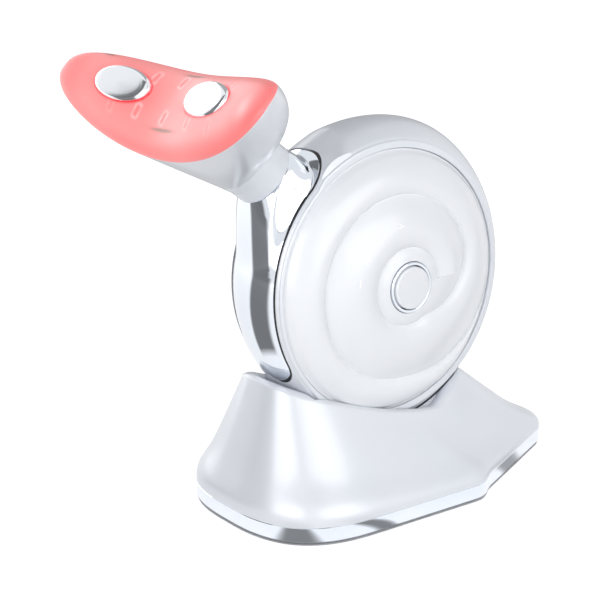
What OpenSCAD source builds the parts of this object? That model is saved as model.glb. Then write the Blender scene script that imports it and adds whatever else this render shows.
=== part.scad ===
// Facial toning device on its charging dock.
// Frame: millimetres, +Z up. The origin is on the table, right under the axis of the disc.
// +X runs to the dock's tail, -X to the head, and the dial looks along -Y.
// The device is its own mirror image in the XZ plane, apart from the dial's spiral and the button.

/* [Disc] */
// Height of the disc's axis above the table, with the handset in its dock
axis_z = 54; // [53.6:0.1:56]
// Radius of the rim at its crown, half way between the two faces
crown_r = 37.4; // [37:0.1:38.5]
// How far the rim falls from its crown to its side edges
crown_drop = 3.1; // [2:0.1:4]
// Distance between the two side edges of the rim
rim_w = 21.8; // [20:0.1:23]
// How far the flat lip beside each cover rises above the side edge
lip_rise = 0.5; // [0.2:0.1:0.8]
// Radius of the dial cover and of the back cover
dial_r = 31.2; // [30.8:0.1:31.8]
// Radius of the hollow inside the rim
hollow_r = 26.5; // [25:0.1:27]
// Width of the ledge that each cover sits on
ledge_w = 2; // [1.5:0.1:2.4]
// Thickness of both covers at their edge
cover_edge_t = 2.4; // [2:0.1:3]
// Wall of both covers
cover_wall = 1.8; // [1.4:0.1:2.2]
// How far the back cover bulges
back_bulge = 4.5; // [3:0.1:6]
// Angle of the crease where the full rim begins, behind the neck
crease_at = 106; // [102:1:110]
// How much further round the crease lies at the side edges
crease_sweep = 4; // [0:0.5:8]
// Thickness of the flange that carries the main board
flange_t = 3.5; // [3:0.1:4]

/* [Dial] */
// How far the dial rises from its edge to the button
dial_rise = 6.6; // [5:0.1:8]
// Depth of the creases between the whorls
whorl_depth = 1.1; // [0.5:0.1:1.6]
// Radius of the spiral after its first turn
whorl_r1 = 20.6; // [18:0.1:22]
// Radius of the spiral after its second turn
whorl_r2 = 9.2; // [8.6:0.1:11]
// Angle at which the spiral leaves the dial's edge
whorl_start = 6; // [0:1:30]

/* [Button] */
// Radius of the button's cap
button_r = 5.2; // [4.6:0.1:5.6]
// Thickness of the cap
button_t = 2.4; // [2:0.1:3]
// Radius of the button's stem
stem_r = 1.8; // [1.5:0.1:2.2]
// Travel of the button
button_travel = 0.6; // [0.4:0.05:0.8]
// Wall of the bright ring round the button
ring_wall = 0.7; // [0.5:0.1:0.9]
// How far the ring stands above the dial's bore
ring_proud = 0.4; // [0.2:0.1:0.6]
// How far the cap stands above the ring
cap_proud = 0.7; // [0.65:0.05:1]

/* [Front strip and neck] */
// Radius of the metal strip at its crown
strip_r = 34.6; // [34.2:0.1:35]
// Half the width of the strip
strip_half_w = 9.8; // [9:0.1:9.9]
// How far the strip falls from its crown to its sides
strip_drop = 1.3; // [1:0.1:1.6]
// Angle where the strip starts, at the shoulder
strip_from = 120; // [117:1:122]
// Angle where the strip ends, above the dock
strip_to = 213; // [208:1:215]
// How far the strip rises again at the shoulder
strip_lift = 2; // [1:0.1:2.4]
// Radius of the strip's corners
strip_corner = 5.5; // [4:0.1:7]
// Thickness of the strip at its sides
strip_t = 1.2; // [1:0.1:1.6]
// How far the neck leans up from the horizontal
neck_lean = 38.5; // [36:0.5:41]
// Distance from the disc's axis to the end of the collar, along the neck
neck_reach = 39.3; // [39:0.1:41]
// How far the neck's axis passes above the disc's axis
neck_shift = 3.2; // [2.6:0.1:4]
// Radius of the neck where it enters the collar
neck_r = 6.9; // [6.5:0.1:7.2]
// Radius of the spigot inside the collar
spigot_r = 4.6; // [4:0.1:5]
// Length of the spigot
spigot_len = 7; // [5:0.5:8]
// Radius of the cable way through the spigot
cableway_r = 2.2; // [1.5:0.1:2.8]

/* [Head] */
// Radius of the collar
collar_r = 7.6; // [7.3:0.1:8.4]
// Distance from the end of the collar to the middle of the cover's edge
head_len = 25.1; // [24:0.1:28]
// How far the face tips forward of square to the neck
face_tip = 2.4; // [0:0.2:4]
// How far the face sits below the neck's axis
face_shift = 0.8; // [0:0.1:1.5]
// Half the length of the head, across the device
head_half_l = 40.2; // [38:0.2:44]
// Half the width of the head on its front side
head_front_w = 11.7; // [11:0.1:13]
// Half the width of the head on its back side
head_back_w = 9.8; // [9.4:0.1:11]
// How far the edge of the cover rises toward its two ends
saddle_rise = 9.5; // [7:0.1:11]
// Wall of the head's housing
head_wall = 1.8; // [1.4:0.1:2.2]
// Height of the translucent cover's dome
dome_h = 6.4; // [5.6:0.1:7.5]
// How far the dome dips between the electrodes
dome_dip = 1.7; // [0.8:0.1:2.2]
// Wall of the translucent cover
dome_wall = 1.6; // [1.2:0.1:2]
// Distance of each electrode from the middle of the head
electrode_y = 16.6; // [15:0.1:18]
// Half the length of an electrode
electrode_a = 9.2; // [8:0.1:10]
// Half the width of an electrode
electrode_b = 4.4; // [3.6:0.1:5]
// How far an electrode stands above the cover
electrode_proud = 1.2; // [0.8:0.1:1.8]
// Angle between each electrode and the head's length
electrode_cant = 9; // [4:1:12]

/* [Dock] */
// Length of the foot's rounded front, from the disc's axis
foot_front = 39.6; // [38:0.2:42]
// Length of the foot's tail, from the disc's axis
foot_tail = 58.9; // [56:0.1:64]
// Half the width of the foot at its widest
foot_half_w = 26.6; // [25:0.2:30]
// Half the width of the tail
tail_half_w = 8; // [7:0.2:10]
// Height of the top of the metal band
band_top = 4.4; // [4:0.1:5.2]
// Gap between the band and the table, which the feet fill
foot_gap = 0.6; // [0.4:0.1:1]
// Thickness of the band
band_t = 1.6; // [1.2:0.1:2]
// Thickness of the base plate
plate_t = 2; // [1.6:0.1:2.2]
// Half the length of the cradle's lip
lip_half_l = 31.5; // [31:0.1:34]
// Half the width of the cradle's lip
lip_half_w = 14.2; // [13.8:0.1:16]
// Height of the lip at the front
lip_front_z = 33; // [30:0.2:36]
// Height of the lip beside the disc
lip_side_z = 21.4; // [19.6:0.2:24]
// Height of the lip's peak at the back
lip_back_z = 25.4; // [24:0.2:28]
// Gap between the disc and the cradle
cradle_gap = 0.5; // [0.3:0.05:0.8]
// Thickness of the skin under the cradle
cradle_skin = 2.2; // [1.8:0.1:3]
// Distance between the two contact pins
pin_pitch = 8; // [7:0.2:10]
// Radius of a contact pin
pin_r = 0.9; // [0.7:0.1:1.2]
// Travel of a contact pin
pin_travel = 0.8; // [0.5:0.1:1]

/* [Fits] */
// Gap round a piece that runs in a bore
run_gap = 0.08; // [0.05:0.01:0.1]
// Gap round a piece that is set into another
seat_gap = 0.15; // [0.1:0.01:0.25]
// Gap between two moulded edges that close on each other
seam = 0.05; // [0.02:0.01:0.1]
// Gap between a charging pin and its contact
touch_gap = 0.1; // [0.05:0.01:0.2]

/* [Hidden] */
eps = 0.01;
round_fn = 96;
small_fn = 32;

half_w = rim_w / 2;                       // side edge of the rim, from the middle plane
lip_z = half_w + lip_rise;                // face of the flat lip
edge_r = crown_r - crown_drop;            // radius of the side edge
seat_r = dial_r + seat_gap;               // bore that a cover drops into
ledge_z = lip_z - cover_edge_t;           // ledge that a cover sits on
pocket_gap = 0.25;                        // shadow gap round the metal strip
board_t = 1.6;
board_r = seat_r - ledge_w - seat_gap;    // main board, inside the ledge
switch_h = 3.5;

// ---- frames --------------------------------------------------------------------------------

// The disc's frame: its own z is the disc's axis, which looks out of the dial.
module on_disc() { translate([0, 0, axis_z]) rotate([90, 0, 0]) children(); }

// The neck's frame: z runs up the neck from the disc's axis.
module on_neck() { translate([0, 0, axis_z]) rotate([0, neck_lean - 90, 0]) children(); }

// The end of the collar, where the head meets the neck.
module on_collar() { on_neck() translate([neck_shift, 0, neck_reach]) children(); }

// The head's frame: z is the face's outward direction, y runs along the head.
module on_face() {
    on_neck() translate([neck_shift - face_shift, 0, neck_reach + head_len])
        rotate([0, face_tip, 0]) children();
}

// ---- surfaces made of rings ------------------------------------------------------------------

// Flat list of the points of every ring.
function flatten(rings) = [for (ring = rings) for (p = ring) p];
// Middle of one ring.
function middle(ring) = [for (i = [0:2]) [for (p = ring) p[i]] * [for (p = ring) 1] / len(ring)];

// A closed solid skinned over rings of equal length, with a fan at both ends.
module skin(rings) {
    n = len(rings[0]);
    last = len(rings) - 1;
    points = concat(flatten(rings), [middle(rings[0]), middle(rings[last])]);
    sides = [for (k = [0:last - 1]) for (i = [0:n - 1]) let (j = (i + 1) % n, a = k * n, b = a + n)
        each [[a + i, b + i, b + j], [a + i, b + j, a + j]]];
    first_end = [for (i = [0:n - 1]) [n * (last + 1), i, (i + 1) % n]];
    last_end = [for (i = [0:n - 1]) [n * (last + 1) + 1, n * last + (i + 1) % n, n * last + i]];
    polyhedron(points, concat(sides, first_end, last_end), convexity = 6);
}

// A closed ring-shaped solid skinned over rings, the last of which meets the first.
module closed_skin(rings) {
    n = len(rings[0]);
    m = len(rings);
    polyhedron(flatten(rings), [for (k = [0:m - 1]) for (i = [0:n - 1])
        let (j = (i + 1) % n, a = k * n, b = ((k + 1) % m) * n)
        each [[a + i, b + i, b + j], [a + i, b + j, a + j]]], convexity = 6);
}

function clamp01(x) = min(1, max(0, x));
function ease(x) = let (t = clamp01(x)) t * t * (3 - 2 * t);
function mix(a, b, t) = a + (b - a) * t;
// Signed power, which squares off or sharpens a sine.
function spow(x, e) = sign(x) * pow(abs(x), e);

// ---- disc ------------------------------------------------------------------------------------

// Radius of the full rim at a distance z from the middle plane.
function rim_r(z) = crown_r - crown_drop * pow(z / half_w, 2);

// Radius of the strip's face. It rises a little toward the shoulder.
function strip_face(a, z) = strip_r - strip_drop * pow(z / strip_half_w, 2)
    + strip_lift * (1 - ease((a - strip_from) / 14));

// Where the crease lies at a distance z from the middle plane.
function crease(z) = crease_at + crease_sweep * abs(z) / half_w;

// Share by which the rim steps in to the strip's level: a hollow scooped from the crease to the
// strip's top end, the whole way beside the strip, and back out below its bottom end.
below_strip = 3;
swell_back = 18;
function step_in(a, z) = a < crease(z) ? 0
    : a < strip_from ? sin(90 * (a - crease(z)) / (strip_from - crease(z)))
    : 1 - ease((a - strip_to - below_strip) / swell_back);
function shell_face(a, z) = mix(rim_r(z), strip_face(a, z), step_in(a, z));

// Angles at which the rim's sections stand. The crease keeps a row of edges of its own.
scoop_steps = 5;
strip_sections = 18;
swell_steps = 5;
full_steps = 38;
rim_sections = scoop_steps + strip_sections + swell_steps + full_steps;
swell_end = strip_to + below_strip + swell_back;
function section_angle(k, z) =
    k < scoop_steps ? mix(crease(z), strip_from, k / scoop_steps)
    : k < scoop_steps + strip_sections ? mix(strip_from, strip_to, (k - scoop_steps) / strip_sections)
    : k < rim_sections - full_steps
        ? mix(strip_to, swell_end, (k - scoop_steps - strip_sections) / swell_steps)
    : mix(swell_end, crease(z) + 360, (k - rim_sections + full_steps) / full_steps);

crown_steps = 6;
function rim_point(k, r, z) = let (a = section_angle(k, z)) [r * cos(a), r * sin(a), z];
function rim_section(k, flange) = concat(
    [for (p = [[hollow_r, 0], [hollow_r, flange], [seat_r - ledge_w, flange], [seat_r - ledge_w, ledge_z],
        [seat_r, ledge_z], [seat_r, lip_z]]) rim_point(k, p[0], p[1])],
    [rim_point(k, shell_face(section_angle(k, half_w), half_w) - lip_rise * 0.7, lip_z)],
    [for (i = [crown_steps:-1:0]) let (z = half_w * i / crown_steps)
        rim_point(k, shell_face(section_angle(k, z), z), z)]);

// Half of the rim, with the ledge for its cover. It fills z from 0 up.
module rim_half(flange) {
    closed_skin([for (k = [0:rim_sections - 1]) rim_section(k, flange)]);
}

// Half the width of the strip at angle a, with its rounded ends, grown by a gap.
function strip_w(a, gap = 0) =
    let (deg = 180 / (PI * strip_r), end = min(a - strip_from, strip_to - a) + gap * deg,
         corner = strip_corner + gap, t = clamp01(1 - end / (corner * deg)))
    strip_half_w - strip_corner + corner * sqrt(1 - t * t);
strip_inner = strip_r - strip_drop - strip_t;
strip_steps = 34;

// The pocket in the front of the rim that the metal strip lies in.
module strip_pocket() {
    deg = 180 / (PI * strip_r);
    skin([for (i = [0:strip_steps])
        let (a = mix(strip_to + pocket_gap * deg, strip_from - pocket_gap * deg, i / strip_steps),
             w = strip_w(a, pocket_gap), inner = strip_inner - pocket_gap)
        [for (p = [[crown_r + 1, -w], [crown_r + 1, w], [inner, w], [inner, -w]])
            [p[0] * cos(a), p[0] * sin(a), p[1]]]]);
}

contact_r = 1.5;
contact_len = 3.4;
contact_face = crown_r - 0.3;
screw_ring_r = (hollow_r + seat_r) / 2 + 0.2;
screw_head_r = 1.5;
screw_head_h = 1.4;
screw_shank_r = 0.8;
screw_bite = 3;                           // how far a screw runs past the middle plane
handset_screw_count = 4;

// Stands a copy at each screw of the handset, on the ledge of the back shell.
module at_handset_screws() {
    for (i = [0:handset_screw_count - 1]) rotate([0, 0, 360 * (i + 0.5) / handset_screw_count])
        translate([screw_ring_r, 0, -ledge_z]) children();
}

module contact_bores() {
    mouth = 1;
    for (side = [-1, 1]) translate([0, -crown_r - mouth, side * pin_pitch / 2]) rotate([-90, 0, 0])
        cylinder(h = mouth + crown_r - contact_face + contact_len, r = contact_r + seat_gap, $fn = small_fn);
}

// A screw with its head's underside facing +z, grown by a gap, with room past its tip.
module screw(head_h, shank, grow = 0, room = 0) {
    translate([0, 0, -room]) cylinder(h = head_h + room, r = screw_head_r + grow, $fn = small_fn);
    cylinder(h = shank + room, r = screw_shank_r + grow, $fn = small_fn);
}
screw_room = 0.1;

module front_shell() {
    color("#eceef2") on_disc() difference() {
        rim_half(flange_t);
        strip_pocket();
        contact_bores();
        at_handset_screws() screw(screw_head_h, ledge_z + screw_bite, seat_gap, screw_room);
    }
}

module back_shell() {
    color("#e8ebf0") on_disc() difference() {
        mirror([0, 0, 1]) rim_half(ledge_z);
        strip_pocket();
        contact_bores();
        at_handset_screws() screw(screw_head_h, ledge_z + screw_bite, seat_gap, screw_room);
    }
}

module handset_screws() {
    color("#9a9da2") on_disc() at_handset_screws() screw(screw_head_h, ledge_z + screw_bite);
}

module charge_contacts() {
    color("#d8b25a") on_disc() for (side = [-1, 1]) translate([0, -contact_face, side * pin_pitch / 2])
        rotate([-90, 0, 0]) cylinder(h = contact_len, r = contact_r, $fn = small_fn);
}

// ---- dial ------------------------------------------------------------------------------------

bore_r = button_r + run_gap + ring_wall + seat_gap;
sectors = 60;
dial_rings = 12;
cover_foot_r = seat_r - ledge_w + 0.4;    // inner edge of the covers' feet, just past the ledge

// Radius of the spiral crease, by its total angle. Each turn steps in quickly and then coasts.
function whorl(angle) = dial_r
    - (dial_r - whorl_r1 - 2.8) * ease((angle - 5) / 95) - 2.8 * clamp01((angle - 40) / 300)
    - (whorl_r1 - whorl_r2) * ease((angle - 335) / 95);

// Height of one whorl between its inner and its outer crease.
function lobe(r, inner, outer) = outer - inner < 0.2 ? 0 :
    let (t = clamp01((r - inner) / (outer - inner))) pow(sin(180 * pow(t, 0.8)), 0.8);

// Relief of the dial above its plain dome.
function relief(r, a) =
    let (turn = (whorl_start - a + 720) % 360, w0 = whorl(turn), w1 = whorl(turn + 360))
    r > w0 ? lobe(r, w0, dial_r + 0.2) * whorl_depth * min(1, (dial_r - w0) / 6)
    : r > w1 ? lobe(r, w1, w0) * whorl_depth
    : lobe(r, bore_r - 2, w1) * whorl_depth * 0.4;

function dial_z(r, a) = lip_z - whorl_depth * 0.3
    + dial_rise * (1 - pow(r / dial_r, 2)) + relief(r, a) * ease((dial_r - r) / 2 + 0.2);

function dial_ring(r, drop = 0) = [for (i = [0:sectors - 1]) let (a = 360 * i / sectors)
    [r * cos(a), r * sin(a), dial_z(r, a) - drop]];
function flat_ring(r, z) = [for (i = [0:sectors - 1]) let (a = 360 * i / sectors)
    [r * cos(a), r * sin(a), z]];

module dial_cover() {
    color("#fafbfd") on_disc() closed_skin(concat(
        [flat_ring(bore_r, dial_z(bore_r, 0) - cover_wall)],
        [for (k = [0:dial_rings]) dial_ring(mix(bore_r, dial_r, k / dial_rings))],
        [flat_ring(dial_r, ledge_z), flat_ring(cover_foot_r, ledge_z)],
        [for (f = [0.75, 0.4]) dial_ring(mix(bore_r, cover_foot_r, f), cover_wall + whorl_depth)]));
}

module back_cover() {
    arc_n = 14;
    function bulge(r) = lip_z + back_bulge * (1 - pow(r / dial_r, 2));
    color("#eef0f4") on_disc() mirror([0, 0, 1]) rotate_extrude($fn = round_fn) polygon(concat(
        [for (i = [0:arc_n]) let (r = dial_r * i / arc_n) [r, bulge(r)]],
        [[dial_r, ledge_z], [cover_foot_r, ledge_z]],
        [for (i = [arc_n - 2:-1:0]) let (r = (cover_foot_r - 1) * i / arc_n) [r, bulge(r) - cover_wall]]));
}

// ---- button ----------------------------------------------------------------------------------

ring_foot = dial_z(bore_r, 0) - cover_wall;
ring_top = max([for (a = [0:30:330]) dial_z(bore_r, a)]) + ring_proud;
cap_top = ring_top + cap_proud;
cap_dome = 0.5;
stem_foot = flange_t + board_t + switch_h + button_travel + run_gap;

module button_ring() {
    color("#d9dce0") on_disc() translate([0, 0, ring_foot]) difference() {
        cylinder(h = ring_top - ring_foot, r = bore_r - seat_gap, $fn = round_fn);
        translate([0, 0, -1]) cylinder(h = ring_top - ring_foot + 2, r = button_r + run_gap, $fn = round_fn);
    }
}

module mode_button() {
    color("#f6f7fa") on_disc() rotate_extrude($fn = round_fn) polygon([
        [0, stem_foot], [stem_r, stem_foot], [stem_r, cap_top - button_t],
        [button_r, cap_top - button_t], [button_r, cap_top - cap_dome],
        [button_r - 0.5, cap_top - 0.18], [button_r * 0.5, cap_top - 0.05], [0, cap_top]]);
}

module tact_switch() {
    side = 6;
    color("#3a3d42") on_disc() translate([0, 0, flange_t + board_t]) {
        translate([-side / 2, -side / 2, 0]) cube([side, side, switch_h - 0.8]);
        cylinder(h = switch_h, r = 1.6, $fn = small_fn);
    }
}

module main_board() {
    color("#2f7d4f") on_disc() translate([0, 0, flange_t]) cylinder(h = board_t, r = board_r, $fn = 64);
}

module battery() {
    size = [34, 24, 6.5];
    color("#5b6470") on_disc() translate([-size[0] / 2, -size[1] / 2, flange_t - size[2]]) cube(size);
}

// ---- front strip and neck ------------------------------------------------------------------------

flare_front = 19;
flare_top = 3.5;

// Share of the neck's height at angle a and distance z from the middle plane.
function neck_share(a, z) =
    let (plane = neck_reach / cos(a - 180 + neck_lean),
         q = plane * sin(180 - neck_lean - a) - neck_shift,
         out = max(0, norm([q, z]) - neck_r),
         along = q < 0 ? pow(clamp01(1 - out / flare_front), 2.4) : ease(1 - out / flare_top),
         side = ease(1.1 * (strip_half_w - abs(z)) / (strip_half_w - neck_r)))
    along * side;

function neck_face(a, z) = let (base = strip_face(a, z))
    mix(base, neck_reach / cos(a - 180 + neck_lean), neck_share(a, z));

strip_cols = 12;
function strip_section(a) = let (w = strip_w(a))
    concat([for (j = [0:strip_cols]) let (z = w * (2 * j / strip_cols - 1), r = neck_face(a, z))
            [r * cos(a), r * sin(a), z]],
        [for (z = [w, -w]) [strip_inner * cos(a), strip_inner * sin(a), z]]);

module neck_spine() {
    neck_depth = neck_reach - strip_inner;
    color("#c9ccd1") difference() {
        union() {
            on_disc() skin([for (i = [0:strip_steps])
                strip_section(mix(strip_to, strip_from, i / strip_steps))]);
            on_collar() translate([0, 0, -eps]) cylinder(h = spigot_len, r = spigot_r, $fn = small_fn);
        }
        on_collar() translate([0, 0, -neck_depth - 1])
            cylinder(h = neck_depth + spigot_len + 2, r = cableway_r, $fn = small_fn);
    }
}

// ---- head ------------------------------------------------------------------------------------------

head_sectors = 48;
collar_x = face_shift * cos(face_tip) + head_len * sin(face_tip);
collar_depth = head_len * cos(face_tip) - face_shift * sin(face_tip);
back_square = 2.9;
rise_rate = saddle_rise / pow(head_half_l, 2);
belly = 1.7;

// Outline of the head at one level: a round front side and a squarer back side.
function plan(half_l, front, back, square, n = head_sectors) = [for (i = [0:n - 1])
    let (t = 360 * i / n, e = sin(t) > 0 ? 2 / square : 1)
    [(sin(t) > 0 ? back : front) * spow(sin(t), e), half_l * spow(cos(t), e)]];

// Ring of the housing at depth s, from 0 at the cover's edge to 1 at the collar's end.
function head_ring(s, wall = 0) =
    let (g = pow(1 - pow(clamp01(s / 0.74), 1.35), 1.15), f = 1 - clamp01(s / 0.85),
         b = 1 - pow(clamp01(s / 0.8), 2), tip = face_tip * s,
         outline = plan(mix(collar_r, head_half_l, g) - wall, mix(collar_r, head_front_w, f) - wall,
             mix(collar_r, head_back_w, b) + belly * sin(180 * clamp01(s / 0.8)) - wall,
             mix(2, back_square, g)))
    [for (p = outline) let (lift = rise_rate * (1 - s) * p[1] * p[1])
        [collar_x * s + p[0] * cos(tip) - lift * sin(tip), p[1],
         -collar_depth * s + p[0] * sin(tip) + lift * cos(tip)]];

shell_levels = [for (i = [0:14]) i / 14];
hollow_depth = 0.62;                      // the hollow ends above the collar
hollow_steps = 8;

bush_r = spigot_r + 1.3;
module head_shell() {
    color("#e6e9ee") difference() {
        on_face() skin(concat(
            [for (i = [hollow_steps:-1:0]) head_ring(hollow_depth * i / hollow_steps, head_wall)],
            [for (s = shell_levels) head_ring(s)]));
        on_collar() translate([0, 0, -1])
            cylinder(h = spigot_len + 1.5, r = bush_r + run_gap, $fn = small_fn);
        on_collar() cylinder(h = head_len * 0.6, r = cableway_r + 0.3, $fn = small_fn);
    }
}

module head_bush() {
    color("#8a8d92") on_collar() difference() {
        cylinder(h = spigot_len, r = bush_r, $fn = small_fn);
        translate([0, 0, -1]) cylinder(h = spigot_len + 2, r = spigot_r + run_gap, $fn = small_fn);
    }
}

// Height of the cover's dome above its edge, at a share q of its outline.
function dome(q, y) = let (fall = max(0, 1 - pow(q, 2.4)))
    dome_h * pow(fall, 0.55) - dome_dip * exp(-pow(y / 11.2, 2)) * fall;

function cover_plan(q, wall) =
    plan((head_half_l - wall) * q, (head_front_w - wall) * q, (head_back_w - wall) * q, back_square);
function cover_ring(q, wall = 0) = [for (p = cover_plan(q, wall))
    [p[0], p[1], rise_rate * p[1] * p[1] + dome(q, p[1]) * (1 - wall / dome_h)]];

dome_levels = [0.2, 0.45, 0.65, 0.8, 0.9, 0.97, 1];

// Places the electrode's frame on the cover. Its z is the cover's outward direction.
electrode_x = 0.7;
electrode_tip = 8;
electrode_seat = dome(electrode_y / head_half_l, electrode_y) + rise_rate * pow(electrode_y, 2);
module on_electrode(side) {
    on_face() translate([electrode_x, side * electrode_y, electrode_seat])
        rotate([side * electrode_cant, -electrode_tip, 0]) children();
}

electrode_fn = 40;
electrode_core = 3;
module oval(h, grow) {
    scale([(electrode_b + grow) / electrode_a, (electrode_a + grow) / electrode_a, 1])
        cylinder(h = h, r = electrode_a, $fn = electrode_fn);
}

module light_cover() {
    color("#ff9a96") difference() {
        on_face() translate([0, 0, seam]) skin(concat([for (q = dome_levels) cover_ring(q)],
            [for (k = [len(dome_levels) - 1:-1:0]) cover_ring(dome_levels[k], dome_wall)]));
        for (side = [-1, 1]) on_electrode(side) translate([0, 0, -6]) oval(12, seat_gap);
    }
}

// An oval pebble of polished metal with a straight core that passes through the cover.
module electrode(side) {
    levels = [[0, 1], [electrode_core, 1], [electrode_core + 0.5 * electrode_proud, 0.96],
        [electrode_core + 0.8 * electrode_proud, 0.86], [electrode_core + electrode_proud, 0.6]];
    color("#cfd2d7") on_electrode(side) translate([0, 0, -electrode_core]) skin([for (l = levels)
        [for (i = [0:electrode_fn - 1]) let (t = 360 * i / electrode_fn)
            [electrode_b * l[1] * cos(t), electrode_a * l[1] * sin(t), l[0]]]]);
}

module electrode_near() { electrode(-1); }
module electrode_far() { electrode(1); }

led_board_z = -3.2;
led_board_l = 38;
led_board_w = 11;
led_board_t = 1.2;

module led_board() {
    color("#f2efe6") on_face() translate([0, 0, led_board_z - led_board_t]) difference() {
        translate([-led_board_w / 2, -led_board_l / 2, 0]) cube([led_board_w, led_board_l, led_board_t]);
        translate([0, 0, -1]) cylinder(h = led_board_t + 2, r = cableway_r, $fn = small_fn);
    }
}

module electrode_springs() {
    color("#b9bcc2") on_face() for (side = [-1, 1])
        translate([electrode_x, side * electrode_y, led_board_z])
            cylinder(h = electrode_seat - led_board_z - electrode_core - 0.3, r = 1.2, $fn = small_fn);
}

module red_leds() {
    led = [3.2, 1.4, 1.1];
    row_x = 3.6;
    pitch = 6.4;
    color("#ff4a40") on_face() for (side = [-1, 1]) for (k = [-1.5:1:1.5])
        translate([side * row_x - led[0] / 2, k * pitch - led[1] / 2, led_board_z]) cube(led);
}

// ---- dock ------------------------------------------------------------------------------------------

foot_n = 24;                              // points along each side of the foot
front_x = 14;                             // where the rounded front begins, ahead of the axis
waist_x = 10;                             // where the foot starts to narrow
cap_x = foot_tail - tail_half_w;          // where the rounded tail begins

// Height of a rounded end, a superellipse of power e, at a share u of its length.
function rounded(u, e) = pow(max(0, 1 - pow(abs(u), e)), 1 / e);

// Half the width of the foot at x.
function foot_w(x) =
    x < -front_x ? foot_half_w * rounded((-x - front_x) / (foot_front - front_x), 2.6)
    : let (taper = mix(foot_half_w, tail_half_w, ease((x - waist_x) / (foot_tail - waist_x - 1))))
      x > cap_x ? taper * rounded((x - cap_x) / tail_half_w, 2.2) : taper;

// Half the width of the cradle's lip at x.
lip_x = 1;
function lip_w(x) = lip_half_w * rounded((x - lip_x) / lip_half_l, 2.5);

// Outline of the foot: x from front to tail on one side and back on the other.
function along(t) = (1 - cos(180 * t)) / 2;
function foot_x(i) = mix(-foot_front, foot_tail, along(i / foot_n));
function foot_outline(inset = 0) = concat(
    [for (i = [0:foot_n]) shrink(foot_x(i), -foot_w(foot_x(i)), inset)],
    [for (i = [foot_n - 1:-1:1]) shrink(foot_x(i), foot_w(foot_x(i)), inset)]);
// Moves a point of the outline in by inset, square to the curve.
function shrink(x, y, inset) =
    let (h = 0.05, xa = max(-foot_front, x - h), xb = min(foot_tail, x + h),
         slope = (foot_w(xb) - foot_w(xa)) / (xb - xa), n = sqrt(1 + slope * slope))
    abs(y) < 0.001 ? [x - sign(x) * inset, 0]
    : [x + inset * slope / n, y - sign(y) * inset / n];

// Height of the lip round the cradle.
function lip_height(x) = x < waist_x
    ? mix(lip_side_z, lip_front_z, pow(clamp01((waist_x - x) / (waist_x + lip_half_l - lip_x)), 1.5))
    : mix(lip_side_z, lip_back_z, ease((x - waist_x) / (lip_half_l + lip_x - waist_x)));

// Ring of the foot at level s, from 0 on the band to 1 at the lip.
side_bow = 0.06;
foot_levels = 8;
function foot_ring(s) =
    let (side = function (sgn, i) let (u = along(i / foot_n), x0 = foot_x(i),
            x1 = mix(lip_x - lip_half_l, lip_x + lip_half_l, u), bow = side_bow * sin(180 * s) * (1 - u))
        [mix(x0, x1, s), sgn * mix(foot_w(x0), lip_w(x1), s) * (1 + bow), mix(band_top, lip_height(x1), s)])
    concat([for (i = [0:foot_n]) side(-1, i)], [for (i = [foot_n - 1:-1:1]) side(1, i)]);

// Rings that turn over the lip and run down into the cradle.
function bevel_ring(inset, drop) = [for (p = foot_ring(1))
    [mix(p[0], lip_x, inset), p[1] * (1 - inset), p[2] - drop]];

screw_sink = 0.2;                         // how far a screw's head lies inside the base plate
dock_screw_head = 1;
dock_screw_len = 10;
dock_screw_places = [for (p = [[-24, 15.5], [28, 11.5]]) for (side = [-1, 1]) [p[0], side * p[1]]];
pin_foot = 5.4;
contact_z = axis_z - contact_face;
skin_foot = axis_z - crown_r - cradle_gap - cradle_skin;
holder_w = 8;
holder_half = pin_pitch / 2 + pin_r + 1.7;

// The disc's shape with the cradle's gap all round, and the way out above it.
module disc_room() {
    on_disc() rotate_extrude($fn = round_fn) polygon(concat(
        [[0, -lip_z - cradle_gap], [0, lip_z + cradle_gap], [edge_r + cradle_gap, lip_z + cradle_gap]],
        [for (i = [crown_steps:-1:-crown_steps]) let (z = half_w * i / crown_steps)
            [rim_r(z) + cradle_gap, z]],
        [[edge_r + cradle_gap, -lip_z - cradle_gap]]));
}

foot_wall = 6;
hollow_h = 3.6;
well = [44, 18];                          // deeper room under the cradle, round the pins
pin_hole_gap = 0.4;
inlet = [9, 7, 3.2];
inlet_z = band_top + 0.5;
inlet_y = foot_half_w - 1.2;

module dock_shell() {
    color("#e9ecf1") difference() {
        skin(concat([for (i = [0:foot_levels]) foot_ring(i / foot_levels)],
            [bevel_ring(0.06, 0.3), bevel_ring(0.14, 1.6), bevel_ring(0.3, 4)]));
        disc_room();
        translate([0, 0, band_top - 1]) linear_extrude(1 + hollow_h) polygon(foot_outline(foot_wall));
        translate([-well[0] / 2, -well[1] / 2, band_top - 1]) cube([well[0], well[1], skin_foot - band_top + 1]);
        for (side = [-1, 1]) translate([0, side * pin_pitch / 2, skin_foot - 1])
            cylinder(h = cradle_skin + 4, r = pin_r + pin_hole_gap, $fn = small_fn);
        translate([-inlet[0] / 2 - seat_gap, inlet_y - inlet[1], inlet_z - seat_gap])
            cube([inlet[0] + 2 * seat_gap, inlet[1] + 5, inlet[2] + 2 * seat_gap]);
        at_dock_screws() screw(dock_screw_head, dock_screw_len, seat_gap, screw_room);
    }
}

band_chamfer = 0.5;
band_seat = 1.4;
module dock_band() {
    function at(inset, z) = [for (p = foot_outline(inset)) [p[0], p[1], z]];
    inner = band_t + band_seat;
    color("#cdd0d5") closed_skin([at(band_t, foot_gap), at(band_chamfer, foot_gap),
        at(0, foot_gap + band_chamfer), at(0, band_top), at(inner, band_top),
        at(inner, foot_gap + plate_t), at(band_t, foot_gap + plate_t)]);
}

// Stands a copy at each screw under the dock, with its head in the base plate.
module at_dock_screws() {
    for (p = dock_screw_places) translate([p[0], p[1], foot_gap + screw_sink]) children();
}

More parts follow.
